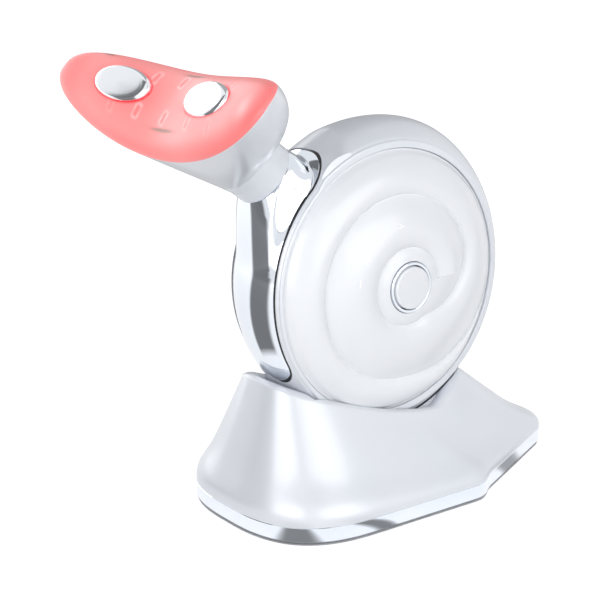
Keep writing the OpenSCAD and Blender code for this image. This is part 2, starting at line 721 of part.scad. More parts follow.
module dock_base_plate() {
    color("#d7dae0") difference() {
        translate([0, 0, foot_gap]) linear_extrude(plate_t) polygon(foot_outline(band_t + seat_gap));
        at_dock_screws() screw(dock_screw_head, dock_screw_len, seat_gap, 2 * screw_sink);
    }
}

module dock_screws() {
    color("#9a9da2") at_dock_screws() screw(dock_screw_head, dock_screw_len);
}

// The places and radii of the feet: a wide pair at the front and a narrow pair in the tail.
foot_places = [[-31, 13, 4], [47, 5, 3]];
module dock_feet() {
    color("#6f7379") for (p = foot_places) for (side = [-1, 1])
        translate([p[0], side * p[1], 0]) cylinder(h = foot_gap, r = p[2], $fn = small_fn);
}

ballast_t = 4;
ballast_ends = [13, 37];                  // the back block's two ends; the front one starts at -13
module dock_ballast() {
    color("#7b7f86") translate([0, 0, foot_gap + plate_t]) difference() {
        linear_extrude(ballast_t) difference() {
            polygon(foot_outline(foot_wall + 1));
            translate([-ballast_ends[0], -foot_half_w]) square([2 * ballast_ends[0], 2 * foot_half_w]);
            translate([ballast_ends[1], -foot_half_w]) square([foot_tail, 2 * foot_half_w]);
        }
        for (p = dock_screw_places) translate([p[0], p[1], -1])
            cylinder(h = ballast_t + 2, r = 2 * screw_head_r, $fn = small_fn);
    }
}

dock_board_w = 22;
dock_board_from = -14;
dock_board_to = foot_half_w - band_t - band_seat - 0.5;
module dock_board() {
    color("#2f7d4f") translate([-dock_board_w / 2, dock_board_from, foot_gap + plate_t])
        cube([dock_board_w, dock_board_to - dock_board_from, board_t]);
}

inlet_wall = 0.5;
inlet_back = 1.5;
module dock_inlet() {
    color("#c3c6cb") translate([-inlet[0] / 2, inlet_y - inlet[1], inlet_z]) difference() {
        cube(inlet);
        translate([inlet_wall, inlet_back, inlet_wall])
            cube([inlet[0] - 2 * inlet_wall, inlet[1], inlet[2] - 2 * inlet_wall]);
    }
}

module pin_holder() {
    base = foot_gap + plate_t + board_t;
    color("#41454b") difference() {
        translate([-holder_w / 2, -holder_half, base]) cube([holder_w, 2 * holder_half, skin_foot - base]);
        for (side = [-1, 1]) translate([0, side * pin_pitch / 2, pin_foot - pin_travel - pin_hole_gap])
            cylinder(h = skin_foot, r = pin_r + run_gap, $fn = small_fn);
    }
}

module contact_pin(side) {
    color("#d8b25a") translate([0, side * pin_pitch / 2, pin_foot])
        cylinder(h = contact_z - touch_gap - pin_foot, r = pin_r, $fn = small_fn);
}

module contact_pin_front() { contact_pin(-1); }
module contact_pin_back() { contact_pin(1); }

dock_shell();
dock_band();
dock_base_plate();
dock_feet();
dock_ballast();
dock_board();
dock_inlet();
dock_screws();
pin_holder();
contact_pin_front();
contact_pin_back();
front_shell();
back_shell();
dial_cover();
back_cover();
mode_button();
button_ring();
tact_switch();
main_board();
battery();
neck_spine();
charge_contacts();
handset_screws();
head_shell();
head_bush();
light_cover();
electrode_near();
electrode_far();
electrode_springs();
led_board();
red_leds();
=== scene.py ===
# %% [markdown]
# # A facial toning device on its charging dock
#
# The object is a round handset that stands in a dock. A metal strip runs up the handset's front and
# rises into a neck, which carries a wide head with a translucent red cover and two metal electrodes.
# Nearly all of it is smooth, pale and glossy, so the work lies in the curves and in how they take light.
#
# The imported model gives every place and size. Pieces with free curves are worked out again here as
# finer surfaces, and the plain inner pieces only get a finish.

# %% Load the frame
import math

import bmesh
import bpy
import numpy as np
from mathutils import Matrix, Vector


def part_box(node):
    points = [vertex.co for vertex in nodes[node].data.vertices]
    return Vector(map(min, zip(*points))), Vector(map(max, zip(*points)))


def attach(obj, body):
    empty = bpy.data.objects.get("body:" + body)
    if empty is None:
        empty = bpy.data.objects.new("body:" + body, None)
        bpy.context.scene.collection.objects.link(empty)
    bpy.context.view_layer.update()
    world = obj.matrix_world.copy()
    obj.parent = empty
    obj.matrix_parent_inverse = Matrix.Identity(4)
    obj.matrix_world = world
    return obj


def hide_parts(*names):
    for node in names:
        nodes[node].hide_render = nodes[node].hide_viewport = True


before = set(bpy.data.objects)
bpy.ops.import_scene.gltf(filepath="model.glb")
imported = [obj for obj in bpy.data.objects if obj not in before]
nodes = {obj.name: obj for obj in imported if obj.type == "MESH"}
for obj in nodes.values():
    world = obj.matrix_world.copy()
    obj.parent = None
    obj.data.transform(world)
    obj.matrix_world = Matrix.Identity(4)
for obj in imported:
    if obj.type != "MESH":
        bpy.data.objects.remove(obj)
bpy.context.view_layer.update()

# %% [markdown]
# ## Camera
#
# A product like this is seen a little from above and from the side of its head. The lens is long, about
# three times a normal one, so the far rim of the disc is hardly smaller than the near one.

# %% Camera
def put(name, data):
    """A new object in the scene, for a camera, a lamp, a text or a mesh."""
    thing = bpy.data.objects.new(name, data)
    bpy.context.scene.collection.objects.link(thing)
    return thing


target = Vector((-0.01842, 0.0, 0.05012))
camera_place = Vector((-0.21516, -0.26413, 0.14010))
camera_data = bpy.data.cameras.new("camera")
camera_data.lens = 88.28
camera_data.sensor_width = 36.0
camera = put("camera", camera_data)
camera.location = camera_place
camera.rotation_euler = (target - camera_place).to_track_quat("-Z", "Y").to_euler()
bpy.context.scene.camera = camera
bpy.context.scene.view_settings.view_transform = "Standard"

# %% [markdown]
# ## Colours and nodes
#
# Colours are written as sRGB hex values, as a finish chart gives them, and one function turns them to the
# linear values that Blender works in. One more function adds a node with its settings and its links.

# %% Colours and nodes
def srgb(code):
    """Linear RGBA of a hex colour: each channel is raised through the sRGB curve."""
    values = np.array([int(code[i:i + 2], 16) for i in (1, 3, 5)]) / 255
    linear = np.where(values <= 0.04045, values / 12.92, ((values + 0.055) / 1.055) ** 2.4)
    return (*linear.tolist(), 1.0)


def add(tree, kind, links=None, **settings):
    """Adds a node. A setting names a property of the node, and a link names an input: a socket is linked,
    and a value is set."""
    node = tree.nodes.new(kind)
    for name, value in settings.items():
        setattr(node, name, value)
    for name, value in (links or {}).items():
        if isinstance(value, bpy.types.NodeSocket):
            tree.links.new(value, node.inputs[name])
        else:
            node.inputs[name].default_value = value
    return node


def new_material(name):
    """An empty material, its node tree and its output node."""
    material = bpy.data.materials.new(name)
    material.use_nodes = True
    material.node_tree.nodes.clear()
    return material, material.node_tree, add(material.node_tree, "ShaderNodeOutputMaterial")


MM = 0.001                                  # one millimetre in metres

# %% [markdown]
# ## Light and floor
#
# White and chromed products are shot in a light tent: soft light from all round, and large soft panels at
# the near side, the left, the right and the back. The panels stand low, so faces that look up stay a
# little greyer than those that look out, and the round forms show. They are wide, so that a gloss finish
# shows them as a soft sheen and not as a hard window.
#
# Chrome shows only what stands round it, and in an even tent it would look like white paper. So dark
# **flags** stand round the set. Only mirrors see them: they darken narrow ranges of the tent and the floor.

# %% Flags
FLAG_SOFT = 3                               # degrees from a flag's edge to its half-tone, each way


def flags(tree, toward, spans):
    """Brightness toward a vector: 1, and less within each span of azimuth (centre, half width, depth).
    The vector is a direction in the tent, or a place on the floor."""
    part = add(tree, "ShaderNodeSeparateXYZ", {0: toward})
    azimuth = add(tree, "ShaderNodeMath", {0: part.outputs["Y"], 1: part.outputs["X"]}, operation="ARCTAN2")
    level = None
    for centre, half, depth in spans:
        off = add(tree, "ShaderNodeMath", {0: azimuth.outputs[0], 1: math.radians(centre)},
                  operation="SUBTRACT")
        near = add(tree, "ShaderNodeMath", {0: off.outputs[0]}, operation="COSINE")
        dark = add(tree, "ShaderNodeMapRange", {
            "Value": near.outputs[0], "From Min": math.cos(math.radians(half + FLAG_SOFT)),
            "From Max": math.cos(math.radians(half - FLAG_SOFT)), "To Min": 1.0, "To Max": 1 - depth},
            interpolation_type="SMOOTHSTEP").outputs["Result"]
        if level is not None:
            dark = add(tree, "ShaderNodeMath", {0: level, 1: dark}, operation="MULTIPLY").outputs[0]
        level = dark
    return level


def seen_by(tree, *rays):
    """1 for a ray of any of the kinds named, and 0 for the rest: the greatest of their flags."""
    path = add(tree, "ShaderNodeLightPath")
    level = path.outputs[rays[0]]
    for ray in rays[1:]:
        level = add(tree, "ShaderNodeMath", {0: level, 1: path.outputs[ray]}, operation="MAXIMUM").outputs[0]
    return level


# %% World
world = bpy.data.worlds.new("light tent")
bpy.context.scene.world = world
world.use_nodes = True
tree = world.node_tree
tree.nodes.clear()
toward = add(tree, "ShaderNodeTexCoord").outputs["Generated"]
tent_flags = [(150, 17, 0.8), (55, 24, 0.55), (262, 9, 0.6)]
mirror = add(tree, "ShaderNodeBackground", {
    "Color": srgb("#fdfeff"), "Strength": flags(tree, toward, tent_flags)})
white = add(tree, "ShaderNodeBackground", {"Color": srgb("#ffffff"), "Strength": 1.0})
tent = add(tree, "ShaderNodeBackground", {"Color": srgb("#eef2f8"), "Strength": 0.33})
soft = add(tree, "ShaderNodeMixShader", {
    "Fac": seen_by(tree, "Is Glossy Ray"), 1: tent.outputs[0], 2: mirror.outputs[0]})
mixed = add(tree, "ShaderNodeMixShader", {
    "Fac": seen_by(tree, "Is Camera Ray", "Is Transmission Ray"), 1: soft.outputs[0], 2: white.outputs[0]})
add(tree, "ShaderNodeOutputWorld", {"Surface": mixed.outputs[0]})


# %% Lamps
def panel(name, azimuth, height, distance, size, watts):
    """A square soft panel that faces the middle of the object. Azimuth and height are in degrees."""
    data = bpy.data.lights.new(name, "AREA")
    data.size = size
    data.energy = watts
    lamp = put(name, data)
    flat = distance * math.cos(math.radians(height))
    aim = Vector((0.0, 0.0, 0.05))
    place = aim + Vector((flat * math.cos(math.radians(azimuth)), flat * math.sin(math.radians(azimuth)),
                          distance * math.sin(math.radians(height))))
    lamp.location = place
    lamp.visible_camera = False
    lamp.rotation_euler = (aim - place).to_track_quat("-Z", "Y").to_euler()


panel("near panel", -84, 13, 1.0, 0.9, 6.1)
panel("left panel", 202, 9, 0.9, 0.8, 4.9)
panel("right panel", -8, 14, 0.9, 0.7, 0.4)
panel("back panel", 95, 8, 0.9, 0.8, 3.2)


# %% [markdown]
# The floor is a matt pale sheet, and it keeps the object's shadow. A **lift**, an emission that only the
# camera and mirrors see, brings it up to the white of the tent. Mirrors see flags on it too: short ones
# that the band shows, near the dock, and wide ones that the strip shows, farther out.

# %% Floor
def flat_sheet(name, corners, material):
    """A flat sheet of one face, whose corners are in metres."""
    mesh = bpy.data.meshes.new(name)
    mesh.from_pydata(corners, [], [list(range(len(corners)))])
    mesh.materials.append(material)
    return put(name, mesh)


FLAGS_MEET = (0.058, 0.068)                 # distance from the middle where near flags give way to far ones
LIFT_FROM, LIFT_TO = (0.1, 0.66), (0.7, 0.84)   # the lift at two distances: light falls off, and it makes up
FLOOR_COLOUR = srgb("#dddddd")
near_flags = [(211, 7, 0.75), (246, 4, 0.75), (338, 5, 0.6)]
far_flags = [(154, 16, 0.8), (55, 24, 0.55), (338, 5, 0.6)]

material, tree, out = new_material("pale floor")
spot = add(tree, "ShaderNodeTexCoord").outputs["Object"]
apart = add(tree, "ShaderNodeVectorMath", {0: spot}, operation="LENGTH").outputs["Value"]
beyond = add(tree, "ShaderNodeMapRange", {
    "Value": apart, "From Min": FLAGS_MEET[0], "From Max": FLAGS_MEET[1]}).outputs["Result"]
level = add(tree, "ShaderNodeMix", {
    "Factor": beyond, "A": flags(tree, spot, near_flags), "B": flags(tree, spot, far_flags)},
    data_type="FLOAT").outputs["Result"]
level = add(tree, "ShaderNodeMix", {"Factor": seen_by(tree, "Is Glossy Ray"), "A": 1.0, "B": level},
            data_type="FLOAT").outputs["Result"]
tint = add(tree, "ShaderNodeVectorMath", {0: FLOOR_COLOUR[:3], "Scale": level}, operation="SCALE").outputs[0]
lit = add(tree, "ShaderNodeBsdfDiffuse", {"Color": tint})
lift = add(tree, "ShaderNodeMapRange", {
    "Value": apart, "From Min": LIFT_FROM[0], "From Max": LIFT_TO[0], "To Min": LIFT_FROM[1],
    "To Max": LIFT_TO[1]}).outputs["Result"]
for share in (seen_by(tree, "Is Camera Ray", "Is Glossy Ray"), level):
    lift = add(tree, "ShaderNodeMath", {0: lift, 1: share}, operation="MULTIPLY").outputs[0]
glow = add(tree, "ShaderNodeEmission", {"Color": srgb("#ffffff"), "Strength": lift})
both = add(tree, "ShaderNodeAddShader", {0: lit.outputs[0], 1: glow.outputs[0]})
tree.links.new(both.outputs[0], out.inputs["Surface"])

FLOOR_REACH = 6.0
floor = flat_sheet("floor", [
    (x * FLOOR_REACH, y * FLOOR_REACH, 0) for x, y in ((-1, -1), (1, -1), (1, 1), (-1, 1))], material)

# %% [markdown]
# ## Finishes
#
# The shells and the dock are ABS under a **pearl lacquer**: white with a cool cast, a soft sheen, and tiny
# mica flakes. The dial is bare **gloss white ABS**. The strip, neck, band and electrodes are plated:
# plating copies the polish under it, so it has a very low roughness and faint polishing waves.

# %% Finishes
def wavy(tree, scale, depth):
    """A bump from soft noise on Object coordinates, and the noise. The scale is in waves per metre."""
    place = add(tree, "ShaderNodeTexCoord")
    noise = add(tree, "ShaderNodeTexNoise", {
        "Vector": place.outputs["Object"], "Scale": scale, "Detail": 2.0})
    bump = add(tree, "ShaderNodeBump", {"Height": noise.outputs["Fac"], "Strength": 1.0, "Distance": depth})
    return bump, noise


def lacquer(name, pale, cool, rough, grit, depth, metal=0.0, coat=0.0):
    """A smooth opaque finish: two close tints in slow clouds, and fine grit in its bump and its gloss."""
    material, tree, out = new_material(name)
    place = add(tree, "ShaderNodeTexCoord")
    cloud = add(tree, "ShaderNodeTexNoise", {"Vector": place.outputs["Object"], "Scale": 40.0, "Detail": 2.0})
    tint = add(tree, "ShaderNodeMix", {
        "Factor": cloud.outputs["Fac"], "A": srgb(pale), "B": srgb(cool)}, data_type="RGBA")
    bump, fine = wavy(tree, grit, depth)
    gloss = add(tree, "ShaderNodeMapRange", {
        "Value": fine.outputs["Fac"], "To Min": rough * 0.88, "To Max": rough * 1.12})
    shader = add(tree, "ShaderNodeBsdfPrincipled", {
        "Base Color": tint.outputs["Result"], "Metallic": metal, "Normal": bump.outputs["Normal"],
        "Roughness": gloss.outputs["Result"], "Coat Weight": coat, "Coat Roughness": 0.08})
    tree.links.new(shader.outputs[0], out.inputs["Surface"])
    return material


# Pearl lacquer over ABS. Real mica is 0.03 mm; 0.3 mm is as fine as shows here.
pearl_lacquer = lacquer("pearl lacquer on ABS", "#e9ebef", "#dfe3ea", 0.34, 3300.0, 0.000004,
                        metal=0.12, coat=0.35)
# Gloss white ABS, moulded in a polished tool. Its orange-peel waves are about 3 mm long.
gloss_white_abs = lacquer("gloss white ABS", "#f5f6f8", "#eef0f4", 0.24, 330.0, 0.000004, coat=0.15)
# The button is the same ABS from a finely blasted tool.
satin_white_abs = lacquer("satin white ABS", "#f2f3f5", "#ebedf1", 0.3, 2500.0, 0.000004)
# Chrome plating on polished metal.
chrome_plate = lacquer("chrome plate", "#e6eaf0", "#dce1e9", 0.06, 120.0, 0.000006, metal=1.0)
electrode_plate = lacquer("polished electrode plate", "#f1f3f6", "#e9ecf1", 0.12, 500.0, 0.000003, metal=1.0)
# Unseen pieces, with the finishes that they have when the device is taken apart.
grained_abs = lacquer("grained grey ABS", "#b9bdc4", "#b0b4bb", 0.55, 4000.0, 0.00002)
silicone_rubber = lacquer("grey silicone rubber", "#54575c", "#4c4f54", 0.7, 3000.0, 0.00001)
turned_steel = lacquer("turned steel", "#a5a7ab", "#97999e", 0.35, 4000.0, 0.000006, metal=1.0)
gold_flash = lacquer("gold flash on brass", "#e0b75e", "#d3a84d", 0.2, 2500.0, 0.000003, metal=1.0)
solder_mask = lacquer("green solder mask", "#245c3c", "#1f5235", 0.4, 900.0, 0.00001)
white_mask = lacquer("white solder mask", "#efece4", "#e6e2d8", 0.45, 900.0, 0.00001)
# Black ABS is also laid in the strip's gap as a bar of painted shade.
black_abs_and_gap_shade = lacquer("black ABS", "#202124", "#1a1b1d", 0.5, 3000.0, 0.00001)
heat_shrink = lacquer("grey heat shrink", "#566071", "#4c5564", 0.45, 600.0, 0.00002)
red_lens = lacquer("clear red epoxy", "#ff3b30", "#f22a20", 0.15, 400.0, 0.000004)

plain_finishes = {
    "dock_base_plate": grained_abs, "dock_feet": silicone_rubber, "dock_ballast": turned_steel,
    "dock_board": solder_mask, "dock_inlet": turned_steel, "dock_screws": turned_steel,
    "pin_holder": black_abs_and_gap_shade, "contact_pin_front": gold_flash, "contact_pin_back": gold_flash,
    "tact_switch": black_abs_and_gap_shade,
    "main_board": solder_mask, "battery": heat_shrink, "charge_contacts": gold_flash,
    "handset_screws": turned_steel, "head_bush": turned_steel, "electrode_springs": turned_steel,
    "led_board": white_mask, "red_leds": red_lens}
for name, finish in plain_finishes.items():
    nodes[name].data.materials.clear()
    nodes[name].data.materials.append(finish)
print("finishes on carried-over nodes:", len(plain_finishes))

# %% [markdown]
# ## Surfaces from grids
#
# Each free curve is a grid of points, worked out as one array in millimetres. One function turns a grid
# into a mesh: it joins neighbours by quads, merges the points that meet at poles and seams, turns the
# faces outward by the sign of the volume, and leaves a crease only where the surface really turns.

# %% Surfaces from grids
SHARP = math.radians(32)                    # faces that meet at more than this have a crease between them


def smooth(mesh):
    """Shades a mesh smooth between its creases."""
    mesh.shade_smooth()
    mesh.set_sharp_from_angle(angle=SHARP)


def skin(name, grid, rows_meet=False):
    """A mesh over a grid of points in millimetres, rows by columns by xyz. A point's neighbours are the
    next ones in its row and its column. The last column meets the first, and the rows do so if asked."""
    rows, columns = grid.shape[:2]
    index = np.arange(rows * columns).reshape(rows, columns)
    index = np.hstack([index, index[:, :1]])
    if rows_meet:
        index = np.vstack([index, index[:1]])
    quads = np.stack([index[:-1, :-1], index[1:, :-1], index[1:, 1:], index[:-1, 1:]], -1).reshape(-1, 4)
    mesh = bpy.data.meshes.new(name)
    mesh.from_pydata((grid.reshape(-1, 3) * MM).tolist(), [], quads.tolist())
    work = bmesh.new()
    work.from_mesh(mesh)
    bmesh.ops.remove_doubles(work, verts=work.verts, dist=1e-6)
    bmesh.ops.dissolve_degenerate(work, edges=work.edges, dist=1e-7)
    if work.calc_volume(signed=True) < 0:
        bmesh.ops.reverse_faces(work, faces=work.faces)
    work.to_mesh(mesh)
    work.free()
    smooth(mesh)
    return put(name, mesh)


def dress(piece, body, finish, replaces=()):
    """Gives a piece its finish, and makes it ride on its body in place of CAD nodes."""
    piece.data.materials.clear()
    piece.data.materials.append(finish)
    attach(piece, body)
    if replaces:
        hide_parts(*replaces)
    print(piece.name, "has", sum(len(face.vertices) - 2 for face in piece.data.polygons), "triangles")


def cut(piece, cutter):
    """Cuts one closed mesh from another and throws the cutter away."""
    modifier = piece.modifiers.new("cut", "BOOLEAN")
    modifier.operation = "DIFFERENCE"
    modifier.solver = "EXACT"
    modifier.object = cutter
    bpy.context.view_layer.update()
    result = bpy.data.meshes.new_from_object(piece.evaluated_get(bpy.context.evaluated_depsgraph_get()))
    piece.modifiers.clear()
    smooth(result)
    piece.data = result
    bpy.data.objects.remove(cutter)


def mix(a, b, share):
    """A value between a and b."""
    return a + (b - a) * share


def ease(x):
    """0 below 0, 1 above 1, and an S between: t * t * (3 - 2 t)."""
    t = np.clip(x, 0, 1)
    return t * t * (3 - 2 * t)


def signed_power(x, power):
    """A power that keeps the sign. It squares off or sharpens a sine."""
    return np.sign(x) * np.abs(x) ** power


def rounded(u, power):
    """Height of a rounded end at share u of its length: an ellipse for the power 2, squarer above it."""
    return np.maximum(0, 1 - np.abs(u) ** power) ** (1 / power)


def stack(x, y, z):
    """Three arrays as points, broadcast to one shape."""
    return np.stack(np.broadcast_arrays(x, y, z), -1).astype(float)


# %% [markdown]
# ## Frames
#
# The disc, the neck and the head lean in different ways. Each shape is worked out in a frame of its own,
# where its formula is simple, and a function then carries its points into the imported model's frame.

# %% Frames of the disc, the neck and the head
AXIS_Z = 54.0                               # height of the disc's axis
NECK_LEAN, NECK_REACH, NECK_SHIFT, NECK_R = 38.5, 39.3, 3.2, 6.9
HEAD_LEN, FACE_TIP, FACE_SHIFT = 25.1, 2.4, 0.8


def on_disc(p):
    """Disc frame to the model's frame: its z, the disc's axis, looks along -Y."""
    return stack(p[..., 0], -p[..., 2], p[..., 1] + AXIS_Z)


def turn_y(p, degrees):
    """Turns points about the Y axis: x and z are mixed by the cosine and the sine."""
    c, s = math.cos(math.radians(degrees)), math.sin(math.radians(degrees))
    return stack(p[..., 0] * c + p[..., 2] * s, p[..., 1], p[..., 2] * c - p[..., 0] * s)


def turn_x(p, degrees):
    """Turns points about the X axis: y and z are mixed by the cosine and the sine."""
    c, s = math.cos(math.radians(degrees)), math.sin(math.radians(degrees))
    return stack(p[..., 0], p[..., 1] * c - p[..., 2] * s, p[..., 1] * s + p[..., 2] * c)


def on_neck(p):
    """Neck frame to the model's frame: z runs up the neck from the disc's axis."""
    return turn_y(p, NECK_LEAN - 90) + (0, 0, AXIS_Z)


def on_face(p):
    """Face frame: z is the head's outward direction, and y runs along the head."""
    return on_neck(turn_y(p, FACE_TIP) + (NECK_SHIFT - FACE_SHIFT, 0, NECK_REACH + HEAD_LEN))


# %% [markdown]
# ## The rim
#
# The handset's round body is two shells that meet on the middle plane. The rim is full and round behind
# the neck, and steps in by a scooped shoulder to a lower level that carries the metal strip. Its crown
# lies nearer to the dial, and the back side runs in farther, so the back cover is the smaller one.
#
# A section is carried round the axis, and its radius follows that step. The strip's pocket is cut after.

# %% The rim
DIAL_R, SEAT_R, BACK_R, BACK_SEAT_R, HOLLOW_R = 31.2, 31.35, 29.2, 29.35, 26.5
RIM_FRONT, RIM_BACK, LIP_Z, BACK_LIP_Z, BEAD_W, COVER_EDGE = 10.6, 10.3, 11.4, 11.0, 1.8, 1.2
CROWN_R, CROWN_SHIFT, SHOULDER_FALL, TOP_AT = 38.4, 1.5, 1.1, 55.0
RIM_EDGES, LAND_EDGES, STRIP_EDGES = (33.6, 32.6), (32.6, 30.6), (32.3, 30.8)
STRIP_R, STRIP_HALF_W, STRIP_T, STRIP_FROM, STRIP_TO = 34.2, 9.5, 1.0, 120.0, 217.5
STRIP_LIFT, LIFT_OVER, STRIP_CORNER, POCKET_GAP = 2.0, 14.0, 5.5, 0.6
CREASE_AT, CREASE_SWEEP, BELOW_STRIP, SWELL_BACK = 106.0, 4.0, 3.0, 18.0
BEAD_EDGE, LEDGE_W, LEDGE_Z, SEAT_BREAK = 0.55, 2.0, 3.5, 0.12


def arch(z, crown, edges, widths):
    """Radius across the rim: a crown, and a parabola down to its own edge on each side."""
    front = z > CROWN_SHIFT
    reach = np.where(front, widths[0] - CROWN_SHIFT, widths[1] + CROWN_SHIFT)
    return crown - (crown - np.where(front, edges[0], edges[1])) * ((z - CROWN_SHIFT) / reach) ** 2


def rim_r(a, z):
    """Radius of the full rim. Its crown is a little lower from the shoulder up to the top."""
    low = np.where(a < STRIP_TO, 1, ease((a - 360 - TOP_AT) / (CREASE_AT - TOP_AT)))
    return arch(z, CROWN_R - SHOULDER_FALL * low, RIM_EDGES, (RIM_FRONT, RIM_BACK))


def shoulder_lift(a):
    """How far the strip's level rises toward the shoulder: an S over LIFT_OVER degrees."""
    return STRIP_LIFT * (1 - ease((a - STRIP_FROM) / LIFT_OVER))


def strip_face(a, z):
    """Radius of the metal strip: a low arch across, raised toward the shoulder."""
    return shoulder_lift(a) + arch(z, STRIP_R, STRIP_EDGES, (STRIP_HALF_W, STRIP_HALF_W))


def crease(z):
    """Angle of the sharp edge where the full rim ends. It sweeps back at the sides."""
    return CREASE_AT + CREASE_SWEEP * np.abs(z) / RIM_FRONT


def step_in(a, z):
    """Share of the step: a quarter sine after the crease, 1 beside the strip, and eased out below it."""
    scoop = np.sin(np.pi / 2 * np.clip((a - crease(z)) / (STRIP_FROM - crease(z)), 0, 1))
    return np.where(a < STRIP_FROM, scoop, 1 - ease((a - STRIP_TO - BELOW_STRIP) / SWELL_BACK))


def shell_face(a, z):
    """Radius of the shells at angle a and distance z from the middle plane."""
    land = shoulder_lift(a) + arch(z, STRIP_R, LAND_EDGES, (RIM_FRONT, RIM_BACK))
    return mix(rim_r(a, z), land, step_in(a, z))


def rim_angles(z):
    """Angles of the sections. The first one follows the crease, so that its edge stays sharp."""
    swell_end = STRIP_TO + BELOW_STRIP + SWELL_BACK
    return np.concatenate([
        mix(crease(z), STRIP_FROM, np.arange(14)[:, None] / 14),
        np.broadcast_to(mix(STRIP_FROM, STRIP_TO, np.arange(110)[:, None] / 110), (110, len(z))),
        np.broadcast_to(mix(STRIP_TO, swell_end, np.arange(24)[:, None] / 24), (24, len(z))),
        mix(swell_end, crease(z) + 360, np.arange(212)[:, None] / 212)])


def around(r, a, z):
    """Points at radius r, angle a in degrees and height z of the disc's frame, in the model's frame."""
    turned = np.radians(a)
    return on_disc(stack(r * np.cos(turned), r * np.sin(turned), z))


def rim_shell(name, front):
    """One shell: hollow, ledge, seat, the bead with its rounded edge, and the arched side."""
    if front:
        side, width, lip, seat = 1, RIM_FRONT, LIP_Z, SEAT_R
        ledge = lip - COVER_EDGE
        step = [(HOLLOW_R, LEDGE_Z), (SEAT_R - LEDGE_W, LEDGE_Z), (SEAT_R - LEDGE_W, ledge)]
    else:
        side, width, lip, seat = -1, RIM_BACK, BACK_LIP_Z, BACK_SEAT_R
        ledge = lip - COVER_EDGE
        step = [(HOLLOW_R, ledge)]
    inner = np.array([(HOLLOW_R, 0), *step, (seat, ledge), (seat, lip - SEAT_BREAK),
                      (seat + SEAT_BREAK, lip)])
    turn = np.linspace(0, np.pi / 2, 7)
    bead_z = lip - BEAD_EDGE * (1 - np.cos(turn))
    face_z = np.linspace(1, 0, 30) * width
    z = np.concatenate([inner[:, 1], bead_z, face_z])
    a = rim_angles(z)
    face_r = shell_face(a[:, -len(face_z):], side * face_z)
    bead_r = np.minimum(seat + BEAD_W, face_r[:, :1] - 0.3) - BEAD_EDGE * (1 - np.sin(turn))
    r = np.concatenate([np.broadcast_to(inner[:, 0], (len(a), len(inner))), bead_r, face_r], 1)
    return skin(name, around(r, a, side * z), rows_meet=True)


# %% [markdown]
# ## The strip's outline and its pocket
#
# The strip's outline is straight at its sides and round at its corners. The same outline, made larger by a
# gap, gives the pocket that is cut for it from the two shells, so the gap is even all round.

# %% The strip's outline and its pocket
def strip_width(a, gap=0.0):
    """Half the strip's width at angle a: straight sides and corners that are quarter circles."""
    degree = 180 / (np.pi * STRIP_R)
    end = np.minimum(a - STRIP_FROM, STRIP_TO - a) + gap * degree
    corner = STRIP_CORNER + gap
    t = np.clip(1 - end / (corner * degree), 0, 1)
    return STRIP_HALF_W - STRIP_CORNER + corner * np.sqrt(1 - t * t)


def strip_angles(gap, n):
    """Angles from end to end, close together at the rounded ends."""
    degree = 180 / (np.pi * STRIP_R)
    share = np.linspace(0, 1, n)
    share = mix(share, (1 - np.cos(np.pi * share)) / 2, 0.75)
    return mix(STRIP_TO + gap * degree, STRIP_FROM - gap * degree, share)


def ring_closed(grid):
    """Adds the middle of the first and of the last row as poles, so that the ends are closed."""
    first = np.broadcast_to(grid[0].mean(0), grid[0].shape)
    last = np.broadcast_to(grid[-1].mean(0), grid[-1].shape)
    return np.concatenate([first[None], grid, last[None]])


def strip_under(across):
    """Radius of the strip's flat underside, at a share from its back edge, -1, to its front edge, 1."""
    return mix(STRIP_EDGES[1], STRIP_EDGES[0], (across + 1) / 2) - STRIP_T


def pocket():
    """The room that is cut for the strip: its outline and its underside, both moved out by the gap."""
    a = strip_angles(POCKET_GAP, 150)[:, None]
    w = strip_width(a, POCKET_GAP)
    across = np.linspace(-1, 1, 9)[None]
    top = around(np.full_like(across, CROWN_R + 2), a, w * across)
    low = around(strip_under(across[:, ::-1]) - POCKET_GAP, a, w * across[:, ::-1])
    return skin("pocket", ring_closed(np.concatenate([top, low], 1)))


# %% [markdown]
# ## The two shells
#
# Each shell is one closed skin, and the pocket is cut from it. Two gilt contacts lie under the lowest point
# of the rim, one in each shell, and a round hole lets the dock's charging pin reach each of them.

# %% The two shells
def peg(centre, radius, length):
    """A round upright cutter with its foot at the centre."""
    t = np.linspace(0, 2 * np.pi, 40, endpoint=False)[None]
    up = np.array([0, length])[:, None]
    return skin("peg", ring_closed(stack(radius * np.cos(t), radius * np.sin(t), up) + centre))


CONTACT_Z = AXIS_Z - CROWN_R                # height of the crown's lowest point
PIN_Y, CONTACT_BORE_R, PIN_BORE_R = 4.0, 1.65, 1.3  # the charging pins stand at y = -4 and 4
for name, front in (("front_rim", True), ("back_rim", False)):
    shell = rim_shell(name, front)
    cut(shell, pocket())
    cut(shell, peg((0, -PIN_Y if front else PIN_Y, CONTACT_Z - 1), CONTACT_BORE_R, 6.0))
    dress(shell, "handset", pearl_lacquer, ["front_shell" if front else "back_shell"])

# %% [markdown]
# ## The dial
#
# The dial is one glossy moulding. Its whorls are crescents that grow out of each other along a spiral: each
# one rises softly from its inner side and rolls over into the crease outside it. The spiral's radius
# steps in quickly over a quarter turn and then coasts, so the crescents overlap as petals do.

# %% The dial
DIAL_RISE, WHORL_DEPTH, WHORL_START, WHORL_R1, WHORL_R2 = 6.6, 2.1, 6.0, 20.6, 9.2
STEP_1, STEP_2, STEP_SWEEP = 5, 335, 95     # where the quick steps start, and how far they go, in degrees
WHORL_DRIFT, DRIFT_FROM, DRIFT_OVER = 2.8, 40, 300
WHORL_GROWS, LAST_WHORL, FACE_SINK = 6, 0.4, 0.3    # mm to its full depth, and two shares of that depth
BORE_R, COVER_WALL, DIAL_EDGE = 6.13, 1.8, 0.35


